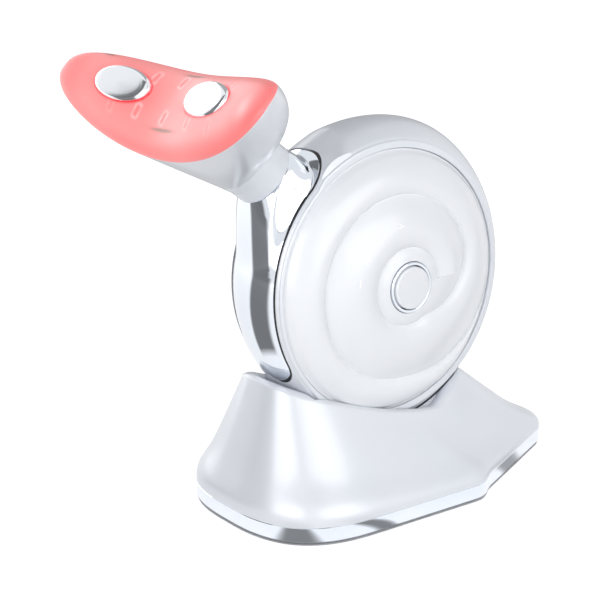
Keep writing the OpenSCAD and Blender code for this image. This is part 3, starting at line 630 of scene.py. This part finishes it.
def whorl(angle):
    """Radius of the spiral crease by its total angle: two quick steps and a slow drift."""
    first = (DIAL_R - WHORL_R1 - WHORL_DRIFT) * ease((angle - STEP_1) / STEP_SWEEP)
    drift = WHORL_DRIFT * np.clip((angle - DRIFT_FROM) / DRIFT_OVER, 0, 1)
    second = (WHORL_R1 - WHORL_R2) * ease((angle - STEP_2) / STEP_SWEEP)
    return DIAL_R - first - drift - second


def lobe(r, inner, outer):
    """Height of a whorl across its width: a skewed half sine."""
    t = np.clip((r - inner) / np.maximum(outer - inner, 1e-6), 0, 1)
    return np.where(outer - inner < 0.2, 0, np.maximum(np.sin(np.pi * t ** 0.8), 0) ** 0.8)


def relief(r, a):
    """Relief of the whorls over the plain dome, at radius r and angle a in degrees. The spiral goes round
    twice, so a point lies outside both of its turns, between them or inside them."""
    turn = np.mod(WHORL_START - a + 720, 360)
    w0, w1 = whorl(turn), whorl(turn + 360)
    outside = lobe(r, w0, DIAL_R + 0.2) * WHORL_DEPTH * np.minimum(1, (DIAL_R - w0) / WHORL_GROWS)
    between = lobe(r, w1, w0) * WHORL_DEPTH
    inside = lobe(r, BORE_R - 2, w1) * WHORL_DEPTH * LAST_WHORL
    return np.where(r > w0, outside, np.where(r > w1, between, inside))


def dial_z(r, a):
    """Height of the dial's face: a low dome and the whorls, which fade out at its edge."""
    return (LIP_Z - WHORL_DEPTH * FACE_SINK + DIAL_RISE * (1 - (r / DIAL_R) ** 2)
            + relief(r, a) * ease((DIAL_R - r) / 2 + 0.2))


def dial():
    """Bore, face, rolled edge, foot and underside, carried once round."""
    a = np.linspace(0, 360, 400, endpoint=False)[None]
    r = np.linspace(BORE_R + 0.15, DIAL_R - DIAL_EDGE, 170)[:, None]
    face = stack(r, a, dial_z(r, a))
    turn = np.linspace(0.2, np.pi / 2, 5)[:, None]
    brink = dial_z(DIAL_R - DIAL_EDGE, a)
    roll = stack(DIAL_R - DIAL_EDGE * (1 - np.sin(turn)), a, brink - DIAL_EDGE * (1 - np.cos(turn)))
    foot = stack(np.array([DIAL_R, SEAT_R - 1.6, 24.0, 14.0, BORE_R])[:, None], a,
                 LIP_Z + np.array([-COVER_EDGE, -COVER_EDGE, -0.6, 1.9, 4.2])[:, None])
    bore = stack(BORE_R, a, dial_z(BORE_R, a) - 0.15)
    grid = np.concatenate([face, roll, foot, bore])
    return skin("dial", around(grid[..., 0], grid[..., 1], grid[..., 2]), rows_meet=True)


dress(dial(), "handset", gloss_white_abs, ["dial_cover"])


# %% [markdown]
# ## The dial's numbers
#
# The four modes are pad printed in white on the white dial, so they only just show. Each digit starts as a
# text object, and its mesh is then laid on the dial: one side of the digit runs along the radius, and its
# height comes from the dial's own function.

# %% The dial's numbers
NUMBER_SIZE, NUMBER_R, NUMBER_INK = 2.7, 15.2, 0.04
NUMBER_ANGLES = (169, 148, 125, 103)
number_ink = lacquer("white pad print", "#ffffff", "#fcfcfd", 0.35, 3000.0, 0.000002)


def number(text, at):
    """A printed digit: its baseline runs toward the button, and it lies on the dial's face."""
    curve = bpy.data.curves.new("number", "FONT")
    curve.body, curve.size, curve.align_x, curve.align_y = text, NUMBER_SIZE, "CENTER", "CENTER"
    curve.extrude, curve.resolution_u = NUMBER_INK, 6
    letter = put("number", curve)
    bpy.context.view_layer.update()
    mesh = bpy.data.meshes.new_from_object(letter)
    bpy.data.objects.remove(letter)
    flat = np.empty(len(mesh.vertices) * 3)
    mesh.vertices.foreach_get("co", flat)
    u, v, w = flat.reshape(-1, 3).T
    turned = np.radians(at)
    px = (NUMBER_R - u) * np.cos(turned) + v * np.sin(turned)
    py = (NUMBER_R - u) * np.sin(turned) - v * np.cos(turned)
    r, a = np.hypot(px, py), np.degrees(np.arctan2(py, px))
    points = around(r, a, dial_z(r, a) + w) * MM
    mesh.vertices.foreach_set("co", points.ravel())
    mesh.update()
    return put("dial_number_" + text, mesh)


for text, at in zip("1234", NUMBER_ANGLES):
    dress(number(text, at), "handset", number_ink)


# %% [markdown]
# ## The button and the back cover
#
# Both are turned forms: a profile of radius and height, carried once round the disc's axis. The heights of
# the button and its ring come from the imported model. The cap is a little smaller than the ring's bore, so
# a dark gap shows round it.

# %% The button
def revolved(name, profile, n=128):
    """A profile of radius and height turned round the disc's axis."""
    a = np.linspace(0, 360, n, endpoint=False)[None]
    r, z = np.asarray(profile, float).T[..., None]
    return skin(name, around(r, a, z), rows_meet=profile[0][0] > 0)


button_low, button_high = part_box("mode_button")
cap_top = -button_low[1] / MM
stem_foot = -button_high[1] / MM
CAP_R, CAP_EDGE, CAP_CROWN, CAP_SKIRT, STEM_R = 5.0, 0.5, 0.1, 2.4, 1.8
turn = np.linspace(0, np.pi / 2, 10)
flat_r = CAP_R - CAP_EDGE
cap = [(r, cap_top - CAP_CROWN * (r / flat_r) ** 2) for r in np.linspace(0, flat_r, 8)]
cap += [(flat_r + CAP_EDGE * math.sin(t), cap_top - CAP_CROWN - CAP_EDGE * (1 - math.cos(t)))
        for t in turn[1:]]
cap += [(CAP_R, cap_top - CAP_SKIRT), (STEM_R, cap_top - CAP_SKIRT), (STEM_R, stem_foot), (0, stem_foot)]
dress(revolved("button_cap", cap), "button", satin_white_abs, ["mode_button"])

ring_low, ring_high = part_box("button_ring")
ring_top, ring_foot = -ring_low[1] / MM, -ring_high[1] / MM
RING_IN, RING_OUT = 5.28, 5.98
# Bore, a small round inner edge, a flat top and a larger round outer edge.
ring = [(RING_IN, ring_foot), (RING_IN, ring_top - 0.12), (RING_IN + 0.04, ring_top - 0.04),
        (RING_IN + 0.14, ring_top), (RING_OUT - 0.28, ring_top), (RING_OUT - 0.11, ring_top - 0.06),
        (RING_OUT - 0.02, ring_top - 0.2), (RING_OUT, ring_top - 0.4), (RING_OUT, ring_foot)]
dress(revolved("button_bezel", ring), "handset", chrome_plate, ["button_ring"])


# %% The back cover
BULGE, LID_EDGE = 4.5, 0.3


def bulge(r):
    """Height of the back cover's face: a low parabola."""
    return BACK_LIP_Z + BULGE * (1 - (r / BACK_R) ** 2)


flat_r = BACK_R - LID_EDGE
back = [(r, -bulge(r)) for r in np.linspace(0, flat_r, 40)]
back += [(flat_r + LID_EDGE * math.sin(t), -bulge(flat_r) + LID_EDGE * (1 - math.cos(t))) for t in turn[2:]]
foot = BACK_LIP_Z - COVER_EDGE
back += [(BACK_R, -foot), (BACK_SEAT_R - 1.6, -foot)]
back += [(r, COVER_WALL - bulge(r)) for r in np.linspace(BACK_SEAT_R - 3.6, 0, 16)]
dress(revolved("back_lid", back, 192), "handset", gloss_white_abs, ["back_cover"])

# %% [markdown]
# ## The strip and the neck
#
# This is one piece of polished, plated metal. Low down it is a flush strip in the rim's pocket. Toward the
# top its middle swells out and becomes the neck, which ends on a flat plane where the collar takes over.
# The swell is a share between two radii, that of the strip and that of the plane, by the distance from the
# neck's axis: long and hollow below, short above. A dark bar in the gap round the strip paints that gap's
# shade.

# %% The strip and the neck
STRIP_BREAK = 0.4                           # radius of the broken side edges
SWELL_LOW, SWELL_HIGH, HOLLOWING = 19, 3.5, 2.4     # how far the swell reaches below and above the neck


def neck_share(a, z):
    """Share of the neck's height: 1 within its radius, a hollow power curve below and an S above, and 0
    at the strip's sides."""
    q = -NECK_REACH * np.tan(np.radians(a - 180 + NECK_LEAN)) - NECK_SHIFT
    out = np.maximum(0, np.hypot(q, z) - NECK_R)
    along = np.where(q < 0, np.clip(1 - out / SWELL_LOW, 0, 1) ** HOLLOWING, ease(1 - out / SWELL_HIGH))
    return along * ease(1.1 * (STRIP_HALF_W - np.abs(z)) / (STRIP_HALF_W - NECK_R))


def neck():
    """Face with softly broken side edges, sides and underside."""
    rows, columns = 260, 80
    a = strip_angles(0, rows)[:, None]
    w = strip_width(a)
    z = w * np.sin(np.pi / 2 * np.linspace(-1, 1, columns))[None]
    plane = NECK_REACH / np.cos(np.radians(a - 180 + NECK_LEAN))
    r = mix(strip_face(a, z), plane, neck_share(a, z))
    over = np.clip((np.abs(z) - (w - STRIP_BREAK)) / STRIP_BREAK, 0, 1)
    r = r - STRIP_BREAK * (1 - np.sqrt(1 - over ** 2))
    low = np.array([[1.0, -1.0]])
    grid = np.concatenate([stack(r, a, z), stack(strip_under(low), a, w * low)], 1)
    return skin("neck_strip", ring_closed(around(grid[..., 0], grid[..., 1], grid[..., 2])))


dress(neck(), "handset", chrome_plate, ["neck_spine"])


# %% The painted shade in the gap
SHADE_PLAY, SHADE_TOP, SHADE_FOOT = 0.04, 0.03, 0.9    # from the strip and the shell, and below the surface


def strip_gap_shade():
    """A thin dark bar of painted shade that follows the strip's outline, as high as the shell in front and
    the strip behind.
    """
    loops = []
    outer = POCKET_GAP - SHADE_PLAY
    for gap, low in ((SHADE_PLAY, SHADE_FOOT), (SHADE_PLAY, SHADE_TOP), (outer, SHADE_TOP), (outer, SHADE_FOOT)):
        a = strip_angles(gap, 240)
        w = strip_width(a, gap)
        a = np.concatenate([a, a[-2:0:-1]])
        z = np.concatenate([w, -w[-2:0:-1]])
        loops.append(stack(np.where(z > 0, shell_face(a, z), strip_face(a, z)) - low, a, z))
    grid = np.stack(loops)
    return skin("strip_gap_shade", around(grid[..., 0], grid[..., 1], grid[..., 2]), rows_meet=True)


# The bar is black so that it paints the shade in the strip's gap.
dress(strip_gap_shade(), "handset", black_abs_and_gap_shade)

# %% [markdown]
# ## The head
#
# The head's housing is a bowl: a long saddle-edged opening that gathers to a round collar. Its outline at
# each depth is half an ellipse in front and a squarer curve behind, and both shrink by their own law.

# %% The head
COLLAR_R, HALF_L, FRONT_W, BACK_W, SADDLE_RISE = 7.6, 40.2, 11.7, 9.8, 9.5
BACK_SQUARE, BELLY, RISE_RATE = 2.9, 1.7, SADDLE_RISE / HALF_L ** 2
GATHER_L, GATHER_FRONT, GATHER_BACK = 0.74, 0.85, 0.8   # depths at which each half axis reaches the collar
tip_c, tip_s = math.cos(math.radians(FACE_TIP)), math.sin(math.radians(FACE_TIP))
COLLAR_X = FACE_SHIFT * tip_c + HEAD_LEN * tip_s
COLLAR_DEPTH = HEAD_LEN * tip_c - FACE_SHIFT * tip_s


def plan(half_l, front, back, square, t):
    """Outline: an ellipse on the front side, a superellipse of its own power on the back side."""
    s = np.sin(t)
    power = np.where(s > 0, 2 / square, 1)
    return np.where(s > 0, back, front) * signed_power(s, power), half_l * signed_power(np.cos(t), power)


def head_rows(depths, wall):
    """Rings of the housing. Depth 0 is the cover's edge and depth 1 the collar's end. The half length
    follows a full curve to the collar's radius, the front a straight line, and the back a parabola with a
    belly."""
    s = np.asarray(depths, float)[:, None]
    t = np.linspace(0, 2 * np.pi, 220, endpoint=False)[None]
    back = np.clip(s / GATHER_BACK, 0, 1)
    g = np.maximum(1 - np.clip(s / GATHER_L, 0, 1) ** 1.35, 0) ** 1.15
    x, y = plan(mix(COLLAR_R, HALF_L, g) - wall,
                mix(COLLAR_R, FRONT_W, 1 - np.clip(s / GATHER_FRONT, 0, 1)) - wall,
                mix(COLLAR_R, BACK_W, 1 - back ** 2) + BELLY * np.sin(np.pi * back) - wall,
                mix(2, BACK_SQUARE, g), t)
    tip = np.radians(FACE_TIP * s)
    lift = RISE_RATE * (1 - s) * y * y
    return stack(COLLAR_X * s + x * np.cos(tip) - lift * np.sin(tip), y,
                 -COLLAR_DEPTH * s + x * np.sin(tip) + lift * np.cos(tip))


HEAD_WALL, HEAD_FLOOR = 1.8, 0.62           # the wall in mm, and the depth at which the hollow ends
head_grid = np.concatenate([
    head_rows(np.linspace(HEAD_FLOOR, 0, 12), HEAD_WALL), head_rows(np.linspace(0, 1, 90), 0)])
dress(skin("head_housing", on_face(ring_closed(head_grid))), "handset", pearl_lacquer,
      ["head_shell"])

# %% [markdown]
# ## The red cover
#
# The cover is a low dome of translucent red polycarbonate that closes the bowl along its saddle edge. It
# dips in the middle, between the electrodes. It is one closed skin with an outer and an inner sheet.

# %% The red cover
DOME_H, DOME_DIP, DOME_WALL = 6.4, 1.7, 1.6
ELECTRODE_X, ELECTRODE_Y, ELECTRODE_A, ELECTRODE_B, CANT, TIP = 0.4, 16.6, 9.2, 4.05, 9.0, 8.0


def dome(q, y):
    """Height of the dome by share q of the outline, with a dip between the electrodes."""
    fall = np.maximum(0, 1 - q ** 2.4)
    return DOME_H * fall ** 0.55 - DOME_DIP * np.exp(-(y / 11.2) ** 2) * fall


def cover_share(x, y, wall=0):
    """Share of the cover's outline: 0 in the middle and 1 at the edge, by an ellipse and a superellipse."""
    along = np.abs(y) / (HALF_L - wall)
    front = np.hypot(x / (FRONT_W - wall), along)
    back = (np.abs(x / (BACK_W - wall)) ** BACK_SQUARE + along ** BACK_SQUARE) ** (1 / BACK_SQUARE)
    return np.where(x < 0, front, back)


def cover_sheet(wall):
    """Grid across the cover: y along the head, and x from the front edge to the back edge at that y."""
    v = np.linspace(-1, 1, 420)[:, None]
    y = (HALF_L - wall) * mix(v, np.sin(np.pi / 2 * v), 0.55)
    u = np.sin(np.pi / 2 * np.linspace(-1, 1, 96))[None]
    along = np.minimum(np.abs(y) / (HALF_L - wall), 1)
    front, back = (FRONT_W - wall) * rounded(along, 2), (BACK_W - wall) * rounded(along, BACK_SQUARE)
    x = u * np.where(u < 0, front, back)
    q = np.clip(cover_share(x, y, wall), 0, 1)
    return stack(x, y, RISE_RATE * y * y + dome(q, y) * (1 - wall / DOME_H))


cover_grid = np.concatenate([cover_sheet(0), cover_sheet(DOME_WALL)[:, ::-1]], 1)
COVER_SINK = 0.005                          # keeps the cover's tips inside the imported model's box
cover = skin("red_cover", on_face(ring_closed(cover_grid) - (0, 0, COVER_SINK)))


# %% [markdown]
# ## The light in the cover
#
# The cover is paler where the light comes through full and deeper at its edge and round the electrodes, and
# the lamps close under it show as soft pale frames. Each of these is a number for every point of the mesh,
# worked out in the face frame and kept on the mesh as an attribute that the material can read.

# %% Attributes of the cover
def from_face(p):
    """The model's frame back to the face frame: the same turns and shifts, the other way round."""
    neck_frame = turn_y(p - (0, 0, AXIS_Z), 90 - NECK_LEAN)
    return turn_y(neck_frame - (NECK_SHIFT - FACE_SHIFT, 0, NECK_REACH + HEAD_LEN), -FACE_TIP)


def attribute(piece, name, values):
    """Keeps one number for each vertex on the mesh."""
    piece.data.attributes.new(name, "FLOAT", "POINT").data.foreach_set("value", values.astype(np.float32))


places = np.empty(len(cover.data.vertices) * 3)
cover.data.vertices.foreach_get("co", places)
x, y, _ = from_face(places.reshape(-1, 3) / MM).T
q = cover_share(x, y)
k = np.hypot((x - ELECTRODE_X) / ELECTRODE_B, (np.abs(y) - ELECTRODE_Y) / ELECTRODE_A)
slope = np.hypot((x - ELECTRODE_X) / ELECTRODE_B ** 2, (np.abs(y) - ELECTRODE_Y) / ELECTRODE_A ** 2)
gap = k * (k - 1) / np.maximum(slope, 1e-6)     # distance to the electrode's edge
HALO_W, WARM_W = 0.28, 3.0                  # how far the red line and the warm tint reach, in mm
attribute(cover, "edge", np.maximum(0.8 * ease((q - 0.74) / 0.26), 0.9 * ease((np.abs(y) - 25) / 12)))
attribute(cover, "halo", np.exp(-(np.maximum(gap, 0) / HALO_W) ** 2))
attribute(cover, "warm", np.exp(-(np.maximum(gap, 0) / WARM_W) ** 2))

# %% Lamps and painted shadows
# Each lamp's window is a rounded oblong. Its frame, a line of painted lamp light, runs round it, and its
# core, painted light too, is what lies inside.
LAMP_HALF_X, LAMP_HALF_Y, LAMP_SLANT, FRAME_OUT, FRAME_W = 1.15, 0.5, 0.15, 0.4, 0.34
lamps = [(-4.6, 16.9, 0.3), (-4.2, 8.2, 0.8), (-4.2, -1.5, 1), (-4.8, -13.1, 0.6), (-5.4, -22.7, 0.2),
         (4.4, 8.9, 0.8), (5.0, 0.0, 0.9), (4.6, -24.1, 0.35)]
frames, cores = np.zeros_like(x), np.zeros_like(x)
for lamp_x, lamp_y, strength in lamps:
    dx = np.abs(x - lamp_x - LAMP_SLANT * (y - lamp_y)) - LAMP_HALF_X
    dy = np.abs(y - lamp_y) - LAMP_HALF_Y
    away = np.hypot(np.maximum(dx, 0), np.maximum(dy, 0)) + np.minimum(np.maximum(dx, dy), 0)
    uneven = 0.75 + 0.25 * np.sin(2.3 * x + y)
    frames = np.maximum(frames, strength * uneven * np.exp(-((away - FRAME_OUT) / FRAME_W) ** 2))
    cores = np.maximum(cores, strength * ease(-away / FRAME_OUT + 0.5))
# One more lamp shines softly through the near end.
frames = np.maximum(frames, 0.55 * np.exp(-((x + 1.0) / 2.4) ** 2 - ((y + 34.0) / 1.8) ** 2))
attribute(cover, "frames", frames)
attribute(cover, "cores", cores)

# Painted shadows between the lamps, thin and dark: place, half the length and half the width.
shade_marks = [(-6.9, -3.6, 5.6, 0.5), (7.25, -1.6, 4.6, 0.42), (6.9, 28.8, 2.2, 0.35)]
shadow = np.zeros_like(x)
for shade_x, shade_y, half_l, half_w in shade_marks:
    shadow = np.maximum(shadow, np.exp(-(((x - shade_x) / half_w) ** 2 + ((y - shade_y) / half_l) ** 2) ** 1.5))
attribute(cover, "shadow", shadow)

# %% [markdown]
# ## Lit red polycarbonate
#
# In the real cover the light spreads through the plastic before it comes out. To trace that would be slow
# and grainy, so the colour is written as it looks when lit, and a weak emission keeps it bright in shade.

# %% Lit red polycarbonate
material, tree, out = new_material("lit red polycarbonate")
# The plastic's own red clouds come first, and each attribute then draws the colour toward a tint; these tints
# are the cover's painted light and shade.
place = add(tree, "ShaderNodeTexCoord")
cloud = add(tree, "ShaderNodeTexNoise", {"Vector": place.outputs["Object"], "Scale": 55.0, "Detail": 1.0})
share = add(tree, "ShaderNodeMapRange", {"Value": cloud.outputs["Fac"], "To Min": -0.3, "To Max": 1.3})
colour = add(tree, "ShaderNodeMix", {
    "Factor": share.outputs["Result"], "A": srgb("#fba3a1"), "B": srgb("#fa8b89")}, data_type="RGBA")
tints = [("warm", "#fa7475", 0.4), ("edge", "#f46162", 0.6), ("frames", "#ffc6c5", 0.9),
         ("cores", "#fb7d7d", 0.8), ("shadow", "#9a7468", 0.95), ("halo", "#ff1f30", 1.0)]
for name, tint, most in tints:
    value = add(tree, "ShaderNodeAttribute", attribute_name=name).outputs["Fac"]
    share = add(tree, "ShaderNodeMath", {0: value, 1: most}, operation="MULTIPLY")
    colour = add(tree, "ShaderNodeMix", {
        "Factor": share.outputs[0], "A": colour.outputs["Result"], "B": srgb(tint)}, data_type="RGBA")
bump, fine = wavy(tree, 400.0, 0.000003)
gloss = add(tree, "ShaderNodeMapRange", {"Value": fine.outputs["Fac"], "To Min": 0.3, "To Max": 0.4})
shader = add(tree, "ShaderNodeBsdfPrincipled", {
    "Base Color": colour.outputs["Result"], "Roughness": gloss.outputs["Result"],
    "Normal": bump.outputs["Normal"], "Emission Color": colour.outputs["Result"], "Emission Strength": 0.3})
tree.links.new(shader.outputs[0], out.inputs["Surface"])
dress(cover, "handset", material, ["light_cover"])


# %% [markdown]
# ## The electrodes
#
# Each electrode is an oval pebble of plated metal that stands a little proud of the cover. It is one stack
# of ovals, and it leans to both sides as the cover does there.

# %% The electrodes
ELECTRODE_H, ELECTRODE_ROOT, SHOULDER_W, SHOULDER_H = 1.2, -3, 0.2, 0.85


def on_electrode(p, side):
    """Electrode frame to the model's frame: turned about both its axes, and set on the dome."""
    seat = dome(np.array(ELECTRODE_Y / HALF_L), ELECTRODE_Y) + RISE_RATE * ELECTRODE_Y ** 2
    return on_face(turn_y(turn_x(p, side * CANT), -TIP) + (ELECTRODE_X, side * ELECTRODE_Y, float(seat)))


def electrode(name, side):
    """An oval pebble: straight sides, a rounded shoulder and a nearly flat top."""
    t = np.linspace(0, 2 * np.pi, 160, endpoint=False)[None]
    turn = np.linspace(0, np.pi / 2, 14)[1:]
    inward = np.linspace(0, 1, 18)[1:]
    share = np.concatenate([[1, 1], 1 - SHOULDER_W * (1 - np.cos(turn)), mix(1 - SHOULDER_W, 0.02, inward)])
    rise = np.concatenate([SHOULDER_H * np.sin(turn), mix(SHOULDER_H, 1, inward ** 0.6)])
    height = np.concatenate([[ELECTRODE_ROOT, 0], ELECTRODE_H * rise])
    a, b = ELECTRODE_B * share[:, None], ELECTRODE_A * share[:, None]
    grid = stack(a * np.cos(t), b * np.sin(t), height[:, None])
    return skin(name, on_electrode(ring_closed(grid), side))


for end, side in (("near", -1), ("far", 1)):
    dress(electrode("electrode_pad_" + end, side), "handset", electrode_plate,
          ["electrode_" + end])

# %% [markdown]
# ## The dock
#
# The dock flows from a wide foot to a narrow saddle that holds the disc. Two outlines, the foot's and the
# lip's, are mixed by height. The foot is squared off in front and tapers to a round tail, and the lip is
# high in front, low beside the disc, and has a peak behind it.

# %% The dock's two outlines
FOOT_FRONT, FOOT_TAIL, FOOT_HALF_W, TAIL_R, TAIL_ANGLE = 40.0, 58.9, 26.3, 8.6, 25.4
BAND_TOP, FOOT_GAP, CRADLE_GAP, CRADLE_SKIN = 4.4, 0.6, 0.5, 2.2
LIP_FRONT, LIP_BACK, LIP_HALF_W, LIP_FRONT_Z, LIP_SIDE_Z, LIP_BACK_Z = 30.8, 27.0, 14.2, 32.6, 20.6, 26.8
LIP_X, LIP_HALF_L = (LIP_BACK - LIP_FRONT) / 2, (LIP_BACK + LIP_FRONT) / 2
LIP_LOW_X, LIP_TOP, LIP_BEND = 13.0, 1.35, 3.3
FRONT_X, FRONT_SQUARE, LIP_SQUARE, WAIST_L, SIDE_TURN = 14.0, 2.8, 3.2, 9.5, 0.2
tail_c, tail_s = math.cos(math.radians(TAIL_ANGLE)), math.sin(math.radians(TAIL_ANGLE))
TAIL_X = FOOT_TAIL - TAIL_R
WAIST_X = TAIL_X - (FOOT_HALF_W * tail_c - TAIL_R) / tail_s - 1


def foot_width(x):
    """Half the width of the foot: a squared-off front, a bend, a straight taper and a round tail."""
    front = FOOT_HALF_W * rounded(np.minimum((x + FRONT_X) / (FOOT_FRONT - FRONT_X), 0), FRONT_SQUARE)
    side = mix(FOOT_HALF_W, (TAIL_R - (x - TAIL_X) * tail_s) / tail_c, ease((x - WAIST_X) / WAIST_L))
    tail = np.sqrt(np.maximum(TAIL_R ** 2 - (x - TAIL_X) ** 2, 0))
    return np.where(x < -FRONT_X, front, np.where(x > TAIL_X + TAIL_R * tail_s, tail, side))


def lip_width(x):
    """Half the width of the lip at x: a superellipse."""
    return LIP_HALF_W * rounded((x - LIP_X) / LIP_HALF_L, LIP_SQUARE)


def lip_height(x):
    """Height of the lip at x: high at the front, low beside the disc, and a peak at the back."""
    front = mix(LIP_SIDE_Z, LIP_FRONT_Z, np.clip((LIP_LOW_X - x) / (LIP_LOW_X + LIP_FRONT), 0, 1) ** 1.5)
    back = mix(LIP_SIDE_Z, LIP_BACK_Z, ease((x - LIP_LOW_X) / (LIP_BACK - LIP_LOW_X)))
    return np.where(x < LIP_LOW_X, front, back)


SIDE_N = 150
share = (1 - np.cos(np.pi * np.linspace(0, 1, SIDE_N + 1))) / 2
foot_x = mix(-FOOT_FRONT, FOOT_TAIL, share)
lip_at = mix(-LIP_FRONT, LIP_BACK, share)


# %% The dock's rings
def both_sides(x, y, z):
    """Joins the near side, front to tail, and the far side back again into one ring."""
    y = np.broadcast_to(y, x.shape)
    z = np.broadcast_to(z, x.shape)
    return np.concatenate([stack(x, -y, z), stack(x[..., -2:0:-1], y[..., -2:0:-1], z[..., -2:0:-1])], -2)


def dock_rows(up):
    """Rings of the dock between the band, at 0, and the lip, at 1. The sides stand upright on the band,
    turn in, and then run straight to the lip."""
    up = up[:, None]
    inward = up * (1 - np.exp(-(up / SIDE_TURN) ** 2))
    return both_sides(mix(foot_x, lip_at, inward), mix(foot_width(foot_x), lip_width(lip_at), inward),
                      mix(BAND_TOP, lip_height(lip_at), up))


def lip_rows(inset):
    """Rings moved in from the lip, which turns over on a parabola with its top at LIP_TOP."""
    inset = inset[:, None]
    rise = (LIP_TOP ** 2 - (inset - LIP_TOP) ** 2) / LIP_BEND
    x, y, z = np.moveaxis(dock_rows(np.ones(1)), -1, 0)
    return stack(LIP_X + (x - LIP_X) * (1 - inset / LIP_HALF_L), y * (1 - inset / LIP_HALF_W), z + rise)


def outline(inset):
    """The foot's outline moved in by an inset, square to the curve."""
    width = foot_width(foot_x)
    slope = np.gradient(width, foot_x)
    long = np.sqrt(1 + slope ** 2)
    x = foot_x + inset * slope / long
    y = width - inset / long
    x[[0, -1]] = (-FOOT_FRONT + inset, FOOT_TAIL - inset)
    y[[0, -1]] = 0
    return x, np.maximum(y, 0)


def slab(name, ring, axis, low, high):
    """A cutter with a flat outline, from low to high along an axis."""
    levels = np.broadcast_to(ring, (2, *ring.shape)).copy()
    levels[0, :, axis], levels[1, :, axis] = low, high
    return skin(name, ring_closed(levels))


# %% [markdown]
# ## The dock's body
#
# The body starts as one closed skin, and all that is open in it is cut from it: the disc's own room with a
# little play, the room for the inlet, the hollow underneath, and a hole for each charging pin.

# %% The dock's body
LIP_REACH = 4.0                             # how far the lip runs in, to well inside the disc's room
dock = skin("dock_body", ring_closed(np.concatenate([
    dock_rows(np.linspace(0, 1, 70) ** 1.3), lip_rows(np.linspace(0, LIP_REACH, 17)[1:])])))

room_a = np.linspace(CREASE_AT, CREASE_AT + 360, 400, endpoint=False)[None]
room_z = np.linspace(-RIM_BACK, RIM_FRONT, 33)[:, None]
room_r = shell_face(room_a, room_z) + CRADLE_GAP
room_z = np.concatenate([[[-BACK_LIP_Z - CRADLE_GAP]], room_z[1:-1], [[LIP_Z + CRADLE_GAP]]])
cut(dock, skin("disc_room", ring_closed(around(room_r, room_a, room_z))))

INLET_W, INLET_H, INLET_DEEP, INLET_Z, INLET_Y = 9.3, 3.5, 7.0, 6.5, FOOT_HALF_W - 2.2
t = np.linspace(0, 2 * np.pi, 64, endpoint=False)
stadium = stack(INLET_H / 2 * np.cos(t) + np.sign(np.cos(t)) * (INLET_W - INLET_H) / 2, 0,
                INLET_Z + INLET_H / 2 * np.sin(t))
cut(dock, slab("inlet_room", stadium, 1, INLET_Y - INLET_DEEP, INLET_Y + INLET_DEEP))

skin_foot = AXIS_Z - CROWN_R - CRADLE_GAP - CRADLE_SKIN
WELL_L, WELL_W, WALL, HOLLOW_H = 22, 9, 6.0, 3.6
well = np.array([(-WELL_L, -WELL_W, 0), (WELL_L, -WELL_W, 0), (WELL_L, WELL_W, 0), (-WELL_L, WELL_W, 0)],
                float)
cut(dock, slab("hollow", both_sides(*outline(WALL), 0), 2, BAND_TOP - 1, BAND_TOP + HOLLOW_H))
cut(dock, slab("well", well, 2, BAND_TOP - 1, skin_foot))
for y in (-PIN_Y, PIN_Y):
    cut(dock, peg((0, y, skin_foot - 1), PIN_BORE_R, CRADLE_SKIN + 2))
dress(dock, "dock", pearl_lacquer, ["dock_shell"])


# %% [markdown]
# ## The band
#
# The band is a plated ring under the dock's edge. Its section is a list of insets and heights, with a small
# chamfer below and a broken edge above, and the section is carried round the foot's outline.

# %% The band
band = [both_sides(*outline(inset), z) for inset, z in (
    (1.35, FOOT_GAP), (0.5, FOOT_GAP), (0.12, FOOT_GAP + 0.38), (0, FOOT_GAP + 0.6),
    (0, BAND_TOP - 0.2), (0.15, BAND_TOP), (3, BAND_TOP), (3, 2.6), (1.35, 2.6))]
dress(skin("dock_trim", np.array(band), rows_meet=True), "dock", chrome_plate,
      ["dock_band"])

# %% [markdown]
# ## The floor under the dock
#
# The pads hold the dock a little off the floor, and the gap under the band is a thin dark line. The floor's
# lift would make it shine, so a patch of floor in the dock's outline has none.

# %% The floor under the dock
PATCH_INSET, PATCH_Z = 0.35, 0.02
material, tree, out = new_material("shaded floor")
lit = add(tree, "ShaderNodeBsdfDiffuse", {"Color": FLOOR_COLOUR})
tree.links.new(lit.outputs[0], out.inputs["Surface"])
patch = both_sides(*outline(PATCH_INSET), PATCH_Z) * MM
under_floor = flat_sheet("floor_under", patch.tolist(), material)
